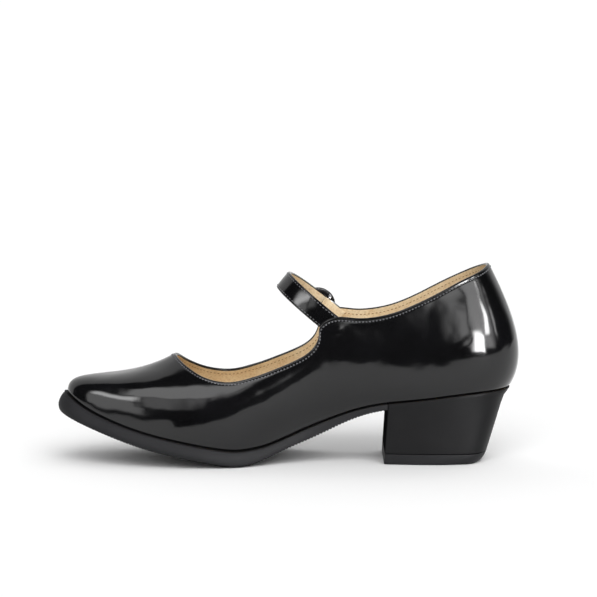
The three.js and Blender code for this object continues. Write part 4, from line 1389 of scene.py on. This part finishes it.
@dataclass
class Strap:
    """The instep strap with its lining, holes and stitches, its keeper, tab and buckle."""

    last: Last
    finishes: Finishes
    at: float = 0.58
    width: float = 10.9
    thickness: float = 2
    slope: float = 39.3
    rise: float = 30.6
    tuck: float = 12
    tail: float = 22
    slack: float = 0.35
    holes: int = 5
    hole_radius: float = 1
    hole_pitch: float = 6
    buckle_width: float = 16.4
    buckle_length: float = 19.4
    rail: float = 2.9
    buckle_thickness: float = 1.5
    buckle_at: float = 3.6
    bar_offset: float = -1.3
    bar_radius: float = 0.75
    prong_radius: float = 0.6
    tab_width: float = 10.4
    tab_thickness: float = 1.4
    tab_tuck: float = 10
    tab_end: float = 1.1
    keeper_at: float = -13
    keeper_width: float = 5
    keeper_thickness: float = 1.1
    keeper_bend: float = 0.7
    keeper_corner: float = 0.35
    # Rounding of a band's leather edge, how far its lining stands back, and where the stitches run
    edge_round: float = 0.7
    lining_back: float = 0.25
    lining_bevel: float = 0.15
    dome: float = 0.15
    tab_dome: float = 0.1
    stitch_inset: float = 1.25
    stitch_sink: float = 0.1
    # The prong comes up through the hole with a slight lean, bends, and lies level on the frame
    prong_lean: float = 0.15
    prong_bend: float = 1.6
    prong_level: float = 1
    seat_points: int = 401
    line_points: int = 601
    band_columns: int = 16
    prong_points: int = 50
    frame_steps: int = 96
    rail_sides: int = 20
    wire_sides: int = 16

    def __post_init__(self) -> None:
        """Settle the strap's plane and its line."""
        slope = math.radians(self.slope)
        self.climbing = np.array([-math.cos(slope), 0, math.sin(slope)])
        self.across = np.array([math.sin(slope), 0, math.cos(slope)])
        last = self.last
        x = self.at * last.length
        rounds = np.linspace(0, last.inner_at(x - self.width), self.seat_points)
        seat = rounds[np.argmin(np.abs(last.of("top_x", rounds) - x))]
        top_x = last.of("top_x", seat)
        self.base = np.array([x, 0, last.seat_height(top_x) + last.of("rise", seat)])
        half = self.thickness / 2 + last.clearance + self.slack

        def inside(climb: float) -> np.ndarray:
            """Return a point inside the inner quarter."""
            p = self.place(0, climb)
            return self.place(-(last.wall_span(p[0], p[2], Side.INNER) - last.wall - half), climb)

        def outside(climb: float) -> np.ndarray:
            """Return a point on the outer quarter."""
            p = self.place(0, climb)
            return self.place(last.wall_span(p[0], p[2], Side.OUTER) + half, climb)

        inner_span, outer_span = -inside(0)[1], outside(0)[1]
        points = [inside(-self.tuck), inside(-self.tuck / 2), inside(0)]
        for span, climb in ARCH:
            points.append(self.place(span * (inner_span if span < 0 else outer_span), climb * self.rise))
        points += [outside(-self.tail * share) for share in (0, 0.3, 0.65, 1)]
        self.line = along_path(drawn_through(points), self.line_points)

    def place(self, span: float, climb: float, across: float = 0) -> np.ndarray:
        """Return a point of the strap's slanted plane."""
        point = self.base + self.climbing * climb + self.across * across
        point[1] = span
        return point

    def tangents(self, path: np.ndarray) -> np.ndarray:
        """Return the directions along a path."""
        return unit(np.gradient(path, axis=0))

    def frame_at(self, climb: float) -> tuple[np.ndarray, np.ndarray, np.ndarray]:
        """Return a point, the way up and the way out on the outer side of the strap."""
        # The outer side begins a little past the middle of the line
        start = len(self.line) * 55 // 100
        heights = (self.line[start:] - self.base) @ self.climbing
        i = start + int(np.argmin(np.abs(heights - climb)))
        up = -self.tangents(self.line)[i]
        out = unit(np.cross(up, self.across))
        if out[1] < 0:
            out = -out
        return self.line[i], up, out

    def band(
        self, name: str, path: np.ndarray, width: float, thickness: float, dome: float, raw: bool = False
    ) -> bpy.types.Object:
        """Sweep a soft-edged band of leather along a path.

        Args:
            name: Name of the piece.
            path: Middle of the band.
            width: Width across the path.
            thickness: Thickness of the leather.
            dome: How far the face swells in the middle.
            raw: Whether the edges show the lining's leather.

        Returns:
            The band, with its outer face first and its lining second.
        """
        outs = unit(np.cross(self.across, self.tangents(path)))
        half, thick = width / 2, thickness / 2
        soft = min(self.edge_round, thick * 0.8)
        side, top = half - soft, thick - dome - soft
        bevel = (half - self.lining_back * soft, self.lining_bevel - thick)
        face = np.linspace(-side, side, self.band_columns + 1)
        turn = np.linspace(0, math.pi / 2, 5)
        profile = [(w, thick - dome + dome * (1 - (w / half) ** 2)) for w in face]
        profile += [(side + soft * math.sin(a), top + soft * math.cos(a)) for a in turn[1:]]
        profile += [bevel, (side, -thick)]
        profile += [(w, -thick) for w in face[-2::-1]]
        profile += [(-bevel[0], bevel[1]), (-half, top)]
        profile += [(-side - soft * math.sin(a), top + soft * math.cos(a)) for a in turn[-2:0:-1]]
        ring = np.array(profile)
        rings = path[:, None] + self.across * ring[None, :, :1] + outs[:, None] * ring[None, :, 1:]
        lined = len(face) + len(turn)

        def face_finish(row: np.ndarray, column: np.ndarray) -> np.ndarray:
            """Lining on the inner face and raw edges, leather on the rest."""
            if raw:
                return column >= len(face)
            return (column >= lined) & (column < lined + len(face))

        return shaped_grid(name, capped(rings), self.last, face_finish, angle=50)

    def build(self) -> None:
        """Build and dress the strap and everything on it."""
        self.build_strap()
        self.build_tab()
        self.build_keeper()
        self.build_buckle()

    def build_strap(self) -> None:
        """Build the strap, punch its holes and sew its edges."""
        path = self.line[::2]
        strap = self.band("strap_leather", path, self.width, self.thickness, self.dome)
        # The prong goes through the middle hole
        middle = self.buckle_at + self.bar_offset + self.bar_radius + self.last.clearance + self.prong_radius
        for i in range(self.holes):
            self.punch(strap, middle + (self.holes // 2 - i) * self.hole_pitch)
        smooth(strap, 50)
        dress(strap, "patent_leather", ["strap"], self.finishes.patent, self.finishes.lining)
        outs = unit(np.cross(self.across, self.tangents(path)))
        out, up = self.width / 2 - self.stitch_inset, self.thickness / 2 - self.stitch_sink
        for side, word in ((-1, "front"), (1, "rear")):
            row = path + self.across * side * out + outs * up
            thread = stitches(f"strap_stitches_{word}", row, outs, self.last, share=0.7, radius=0.24)
            dress(thread, "patent_leather", [], self.finishes.glint_painted_thread)

    def punch(self, strap: bpy.types.Object, climb: float) -> None:
        """Punch one round hole through the strap."""
        point, _, out = self.frame_at(climb)
        deselect()
        turn = Vector(out).to_track_quat("Z", "Y").to_euler()
        where = (point + np.array(self.last.shift)) * MM
        bpy.ops.mesh.primitive_cylinder_add(
            vertices=24,
            radius=self.hole_radius * MM,
            depth=self.thickness * 3 * MM,
            location=where,
            rotation=turn,
        )
        drill = bpy.context.object
        select_only(strap)
        cut = strap.modifiers.new("hole", "BOOLEAN")
        cut.operation = "DIFFERENCE"
        cut.object = drill
        bpy.ops.object.modifier_apply(modifier=cut.name)
        bpy.data.objects.remove(drill)

    def build_tab(self) -> None:
        """Build the short tab that holds the buckle's bar."""
        last = self.last
        depth = self.thickness / 2 + 2 * last.clearance + 2 * self.bar_radius + self.tab_thickness / 2
        point, up, out = self.frame_at(self.buckle_at)
        bar = point - out * depth
        room = last.wall + last.clearance + self.slack + self.tab_thickness / 2
        sewn = []
        for climb in (-self.tab_tuck, -self.tab_tuck / 2, -self.tab_thickness):
            p = self.place(0, climb)
            sewn.append(self.place(last.wall_span(p[0], p[2], Side.OUTER) - room, climb))
        loose = [bar + up * self.bar_offset, bar + up * self.tab_end]
        path = along_path(drawn_through(sewn + loose), 60)
        size = (self.tab_width, self.tab_thickness, self.tab_dome)
        tab = self.band("buckle_tab_leather", path[::-1], *size, raw=True)
        dress(tab, "patent_leather", ["buckle_tab"], self.finishes.patent, self.finishes.lining)

    def on_strap(self, climb: float, flat: np.ndarray) -> np.ndarray:
        """Turn points drawn across, up and out from a place on the strap into the shoe's axes."""
        point, up, out = self.frame_at(climb)
        return point + flat[..., :1] * self.across + flat[..., 1:2] * up + flat[..., 2:] * out

    def wire(self, name: str, flat: np.ndarray, radius: np.ndarray, climb: float) -> bpy.types.Object:
        """Sweep a round wire along a path drawn on the strap.

        Args:
            name: Name of the piece.
            flat: Points across, up and out from the place on the strap.
            radius: Half the wire's thickness at each point.
            climb: The place on the strap.

        Returns:
            The wire.
        """
        path = self.on_strap(climb, flat)
        along = self.tangents(path)
        # Any direction does that no part of the wires follows
        helper = self.frame_at(climb)[1] * 0.37 + self.across * 0.2
        side = unit(np.cross(along, helper))
        other = np.cross(along, side)
        turn = np.linspace(0, 2 * math.pi, self.wire_sides, endpoint=False)
        circle = np.cos(turn)[None, :, None] * side[:, None] + np.sin(turn)[None, :, None] * other[:, None]
        rings = path[:, None] + circle * radius[:, None, None]
        return shaped_grid(name, capped(rings), self.last, angle=60)

    def build_keeper(self) -> None:
        """Build the keeper, a narrow loop over the strap's free end."""
        last = self.last
        half = self.width / 2 + last.clearance + self.keeper_thickness / 2
        roof = self.thickness / 2 + last.clearance + self.keeper_thickness / 2
        foot = self.slack - self.thickness / 2
        bend = self.keeper_bend
        side, high = half - bend, roof - bend
        turn = np.linspace(0, math.pi / 2, 7)
        path = [(-half, foot)]
        path += [(-side - bend * math.cos(a), high + bend * math.sin(a)) for a in turn]
        path += [(side + bend * math.sin(a), high + bend * math.cos(a)) for a in turn]
        path += [(half, foot)]
        middle = np.array(path)
        along = unit(np.gradient(middle, axis=0))
        normal = np.stack([-along[:, 1], along[:, 0]], -1)
        corner = self.keeper_corner
        wide, thick = self.keeper_width / 2 - corner, self.keeper_thickness / 2 - corner
        turn = np.linspace(0, math.pi / 2, 4)
        arc = np.stack([wide + corner * np.cos(turn), thick + corner * np.sin(turn)], -1)
        ring = np.concatenate([arc, arc[::-1] * [-1, 1], arc * -1, arc[::-1] * [1, -1]])
        flat = np.zeros((len(middle), len(ring), 3))
        flat[..., 0] = middle[:, :1] + normal[:, :1] * ring[None, :, 1]
        flat[..., 1] = ring[None, :, 0]
        flat[..., 2] = middle[:, 1:] + normal[:, 1:] * ring[None, :, 1]
        rings = self.on_strap(self.keeper_at, flat)
        keeper = shaped_grid("strap_keeper_leather", capped(rings), last, angle=50)
        dress(keeper, "patent_leather", ["strap_keeper"], self.finishes.patent)

    def build_buckle(self) -> None:
        """Build the buckle's oval frame, its bar and its prong."""
        self.build_frame()
        self.build_bar()
        self.build_prong()

    def build_frame(self) -> None:
        """Cast the oval frame, whose rail has a soft square section."""
        low = self.thickness / 2 + self.last.clearance
        section = []
        for angle in np.linspace(0, 2 * math.pi, self.rail_sides, endpoint=False):
            c, s = math.cos(angle), math.sin(angle)
            squash = (abs(c) ** 3 + abs(s) ** 3) ** (-1 / 3)
            section.append((c * squash * self.rail / 2, s * squash * self.buckle_thickness / 2))
        ring = np.array(section + section[:1])
        turn = np.linspace(0, 2 * math.pi, self.frame_steps + 1)
        centre = np.stack([np.cos(turn), np.sin(turn)], -1)
        half = np.array([self.buckle_width, self.buckle_length]) / 2 - self.rail / 2
        flat = np.zeros((len(turn), len(ring), 3))
        flat[..., :2] = centre[:, None] * (half + ring[None, :, :1])
        flat[..., 2] = low + self.buckle_thickness / 2 + ring[None, :, 1]
        places = self.on_strap(self.buckle_at, flat)
        frame = shaped_grid("buckle_frame_enamel", places, self.last, angle=60)
        dress(frame, "black_enamel", ["buckle_frame"], self.finishes.enamel)

    def build_bar(self) -> None:
        """Bend the bar that runs under the strap from rail to rail."""
        reach = self.buckle_width / 2 - self.rail / 2
        deep = -(self.thickness / 2 + self.last.clearance + self.bar_radius)
        bend = self.bar_radius * 1.2
        side, low = reach - bend, deep + bend
        corner = np.linspace(0, math.pi / 2, 9)
        bar = [(-reach, self.thickness / 2)]
        bar += [(-side - bend * math.cos(a), low - bend * math.sin(a)) for a in corner]
        bar += [(side + bend * math.sin(a), low - bend * math.cos(a)) for a in corner]
        bar += [(reach, self.thickness / 2)]
        flat = np.array([(w, self.bar_offset, n) for w, n in bar])
        piece = self.wire("buckle_bar_wire", flat, np.full(len(flat), self.bar_radius), self.buckle_at)
        dress(piece, "bright_metal", ["buckle_bar"], self.finishes.wire)

    def build_prong(self) -> None:
        """Bend the prong that comes up through the middle hole and lies over the frame."""
        clear = self.last.clearance
        start = self.bar_offset + self.bar_radius + clear + self.prong_radius
        above = self.thickness / 2 + clear + self.prong_radius
        over = above + self.buckle_thickness + clear
        rail = self.buckle_length / 2 - self.rail
        points = [
            (0, start, -above),
            (0, start, 0),
            (0, start + self.prong_lean, above * 0.9),
            (0, start + self.prong_bend, over * 0.86),
            (0, rail - self.prong_level, over),
            (0, rail + self.rail, over),
        ]
        path = along_path(drawn_through(points), self.prong_points)
        last_point = self.prong_points - 1
        ends = [0, last_point - 9, last_point - 2, last_point]
        taper = self.prong_radius * np.interp(np.arange(self.prong_points), ends, [1, 1, 0.85, 0.4])
        piece = self.wire("buckle_prong_wire", path, taper, self.buckle_at)
        dress(piece, "bright_metal", ["buckle_prong"], self.finishes.wire)


@dataclass(frozen=True)
class Panel:
    """A softbox that faces a place of the shoe, by its turn from straight ahead and its rise, in degrees."""

    name: str
    about: tuple[float, float, float]
    turn: tuple[float, float]
    rise: tuple[float, float]
    light: float
    soft: tuple[float, float, float, float] = (0.2, 0.2, 0.2, 0.2)
    distance: float = 1300

    def build(self) -> None:
        """Hang the panel, seen only in the gloss of the shoe."""
        turn = math.radians(sum(self.turn) / 2)
        rise = math.radians(sum(self.rise) / 2)
        towards = Vector((math.sin(turn) * math.cos(rise), -math.cos(turn) * math.cos(rise), math.sin(rise)))
        deselect()
        bpy.ops.mesh.primitive_plane_add(size=2)
        panel = bpy.context.object
        panel.name = self.name
        wide = self.distance * MM * math.tan(math.radians(self.turn[1] - self.turn[0]) / 2)
        high = self.distance * MM * math.tan(math.radians(self.rise[1] - self.rise[0]) / 2)
        bpy.ops.object.mode_set(mode="EDIT")
        bpy.ops.mesh.select_all(action="SELECT")
        bpy.ops.transform.resize(value=(wide, high, 1), center_override=(0, 0, 0))
        bpy.ops.object.mode_set(mode="OBJECT")
        panel.location = (Vector(self.about) + towards * self.distance) * MM
        panel.rotation_euler = towards.to_track_quat("Z", "Y").to_euler()
        panel.visible_camera = False
        panel.visible_diffuse = False
        panel.visible_shadow = False
        panel.data.materials.append(self.cloth(wide, high))

    def cloth(self, wide: float, high: float) -> bpy.types.Material:
        """Return the panel's lit cloth, which fades towards its edges.

        Args:
            wide: Half the panel's width, in metres.
            high: Half the panel's height, in metres.

        Returns:
            The material.
        """
        material, tree, place = new_material(f"{self.name}_cloth")
        parts = add_node(tree, "ShaderNodeSeparateXYZ", {"Vector": place}).outputs
        total = self.light
        edges = [("X", wide, -1, 0), ("X", wide, 1, 1), ("Y", high, -1, 2), ("Y", high, 1, 3)]
        for axis, half, sign, side in edges:
            inputs = {"Value": parts[axis], "From Min": sign * half, "To Min": 0.0, "To Max": 1.0}
            inputs["From Max"] = sign * half * (1 - 2 * self.soft[side])
            fade = add_node(tree, "ShaderNodeMapRange", inputs, interpolation_type="SMOOTHSTEP")
            total = add_node(tree, "ShaderNodeMath", {0: fade, 1: total}, operation="MULTIPLY")
        lit = add_node(tree, "ShaderNodeEmission", {"Strength": total})
        add_node(tree, "ShaderNodeOutputMaterial", {"Surface": lit})
        return material


@dataclass
class Studio:
    """A pale floor, soft studio light and the camera of the photo's view."""

    distance: float = 1600
    elevation: float = 7.0
    aim: tuple[float, float, float] = (5.6, 0, 87.93)
    frame_width: float = 327.2
    sensor: float = 36
    floor_size: float = 24000
    floor_front: float = 420
    floor_drop: float = 0.2
    card_lift: float = 0.1
    card_corners: tuple[tuple[float, float], ...] = ((-205, -422), (77, -422), (-92, -130), (-62, -126))
    ambient: float = 0.012
    wall_light: float = 1.0
    # The wall grows from dark to white between these parts of the direction, and ends on the right
    wall_back: tuple[float, float] = (0.2, 0.28)
    wall_right: tuple[float, float] = (0.93, 0.66)
    # How white the paper behind looks to the camera alone
    backdrop: float = 1.25
    panels: list[Panel] = field(
        default_factory=lambda: [
            Panel("softbox_heel", (90, -22, 70), (17, 40), (-4, 15), 38, (0.4, 0.2, 0.08, 0.3)),
            Panel("softbox_counter", (95, -22, 85), (27, 58), (8, 25), 30, (0.4, 0.2, 0.3, 0.4)),
            Panel("reflector_heel", (92, -20, 85), (10, 70), (0, 36), 4, (0.25, 0.3, 0.1, 0.4)),
            Panel("reflector_quarter", (70, -25, 75), (2, 18), (4, 22), 3.0, (0.45, 0.2, 0.4, 0.3)),
            Panel("spot_collar", (95, -20, 95), (46, 55), (25, 36), 8, (0.3, 0.3, 0.3, 0.3)),
            Panel("strip_counter", (105, -18, 85), (68, 76), (6, 24), 5, (0.3, 0.3, 0.3, 0.3)),
            Panel("softbox_toe", (-75, -25, 36), (-64, -22), (20, 40), 8.5, (0.3, 0.3, 0.45, 0.45)),
            Panel("reflector_toe", (-75, -25, 36), (-66, -27), (0, 34), 2.0, (0.12, 0.12, 0.1, 0.4)),
            Panel("reflector_vamp", (-45, -20, 45), (-46, -6), (25, 70), 3.0, (0.2, 0.3, 0.25, 0.15)),
            Panel("reflector_throat", (-45, -20, 45), (-32, -13), (12, 42), 1.5, (0.2, 0.45, 0.15, 0.3)),
        ]
    )

    def camera(self) -> None:
        """Place the camera level with the photo's view."""
        rise = math.radians(self.elevation)
        data = bpy.data.cameras.new("camera")
        data.sensor_width = self.sensor
        data.lens = self.sensor * self.distance / self.frame_width
        data.clip_end = 50
        camera = bpy.data.objects.new("camera", data)
        x, y, z = self.aim
        back, up = self.distance * math.cos(rise), self.distance * math.sin(rise)
        camera.location = Vector((x, y - back, z + up)) * MM
        camera.rotation_euler = Euler((math.radians(90) - rise, 0, 0))
        bpy.context.scene.collection.objects.link(camera)
        bpy.context.scene.camera = camera

    def floor(self) -> None:
        """Lay the pale floor."""
        deselect()
        middle = (0, (self.floor_size / 2 - self.floor_front) * MM, -self.floor_drop * MM)
        bpy.ops.mesh.primitive_plane_add(size=self.floor_size * MM, location=middle)
        floor = bpy.context.object
        floor.name = "studio_floor"
        floor.data.materials.append(StudioPaper().material())

    def card(self) -> None:
        """Lay a black card on the floor before the vamp, seen only in the gloss of the shoe."""
        deselect()
        bpy.ops.mesh.primitive_plane_add(size=1)
        card = bpy.context.object
        card.name = "black_card"
        for vertex, (x, y) in zip(card.data.vertices, self.card_corners):
            vertex.co = (x * MM, y * MM, self.card_lift * MM)
        card.visible_camera = False
        card.visible_diffuse = False
        card.visible_shadow = False
        card.data.materials.append(BlackCard().material())

    def world(self) -> None:
        """Light a dark room by its white wall behind. The camera sees pale paper all round."""
        world = bpy.data.worlds.new("studio_world")
        bpy.context.scene.world = world
        world.use_nodes = True
        tree = world.node_tree
        tree.nodes.clear()
        direction = add_node(tree, "ShaderNodeTexCoord").outputs["Generated"]
        parts = add_node(tree, "ShaderNodeSeparateXYZ", {"Vector": direction}).outputs
        room = add_node(tree, "ShaderNodeMath", {0: self.ambient, 1: self.wall(tree, parts)}, operation="ADD")
        camera = add_node(tree, "ShaderNodeLightPath").outputs["Is Camera Ray"]
        seen = add_node(tree, "ShaderNodeMath", {0: camera, 1: self.backdrop}, operation="MULTIPLY")
        total = add_node(tree, "ShaderNodeMath", {0: room, 1: seen}, operation="MAXIMUM")
        background = add_node(tree, "ShaderNodeBackground", {"Strength": total})
        add_node(tree, "ShaderNodeOutputWorld", {"Surface": background})

    def wall(self, tree: bpy.types.NodeTree, parts: bpy.types.bpy_prop_collection) -> bpy.types.Node:
        """Return the light of the white wall behind, which ends softly in front and on the right.

        Args:
            tree: The world's nodes.
            parts: The three parts of the direction.

        Returns:
            The wall's radiance.
        """
        light = self.wall_light
        for axis, (dark, white) in (("Y", self.wall_back), ("X", self.wall_right)):
            inputs = {"Value": parts[axis], "From Min": dark, "From Max": white, "To Min": 0.0, "To Max": 1.0}
            fade = add_node(tree, "ShaderNodeMapRange", inputs, interpolation_type="SMOOTHSTEP")
            light = add_node(tree, "ShaderNodeMath", {0: fade, 1: light}, operation="MULTIPLY")
        return light

    def broad_light(self, name: str, light: float, angle: float, source: Sequence[float]) -> None:
        """Hang a broad light that the gloss doesn't show.

        Args:
            name: Name of the light.
            light: Its strength in watts per square metre.
            angle: How wide it looks from the shoe, in degrees.
            source: Where it shines from.
        """
        data = bpy.data.lights.new(name, "SUN")
        data.energy = light
        data.angle = math.radians(angle)
        lamp = bpy.data.objects.new(name, data)
        lamp.visible_glossy = False
        lamp.rotation_euler = Vector(source).to_track_quat("Z", "Y").to_euler()
        bpy.context.scene.collection.objects.link(lamp)

    def build(self) -> None:
        """Set up the studio."""
        self.camera()
        self.floor()
        self.card()
        self.world()
        self.broad_light("broad_overhead", light=1.2, angle=75, source=(0.35, -0.3, 1))
        self.broad_light("broad_front", light=2.4, angle=60, source=(0.1, -1, 0.75))
        for panel in self.panels:
            panel.build()
        scene = bpy.context.scene
        scene.view_settings.view_transform = "Standard"
        scene.view_settings.look = "None"


def main() -> None:
    """Build the shoe and its studio."""
    logging.basicConfig(level=logging.INFO, format="%(name)s: %(message)s")
    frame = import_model()
    Studio().build()
    last = Last()
    finishes = Finishes()
    Upper(last, finishes).build()
    Sole(last, finishes).build()
    Heel(last, finishes).build()
    Strap(last, finishes).build()


if __name__ == "__main__":
    main()
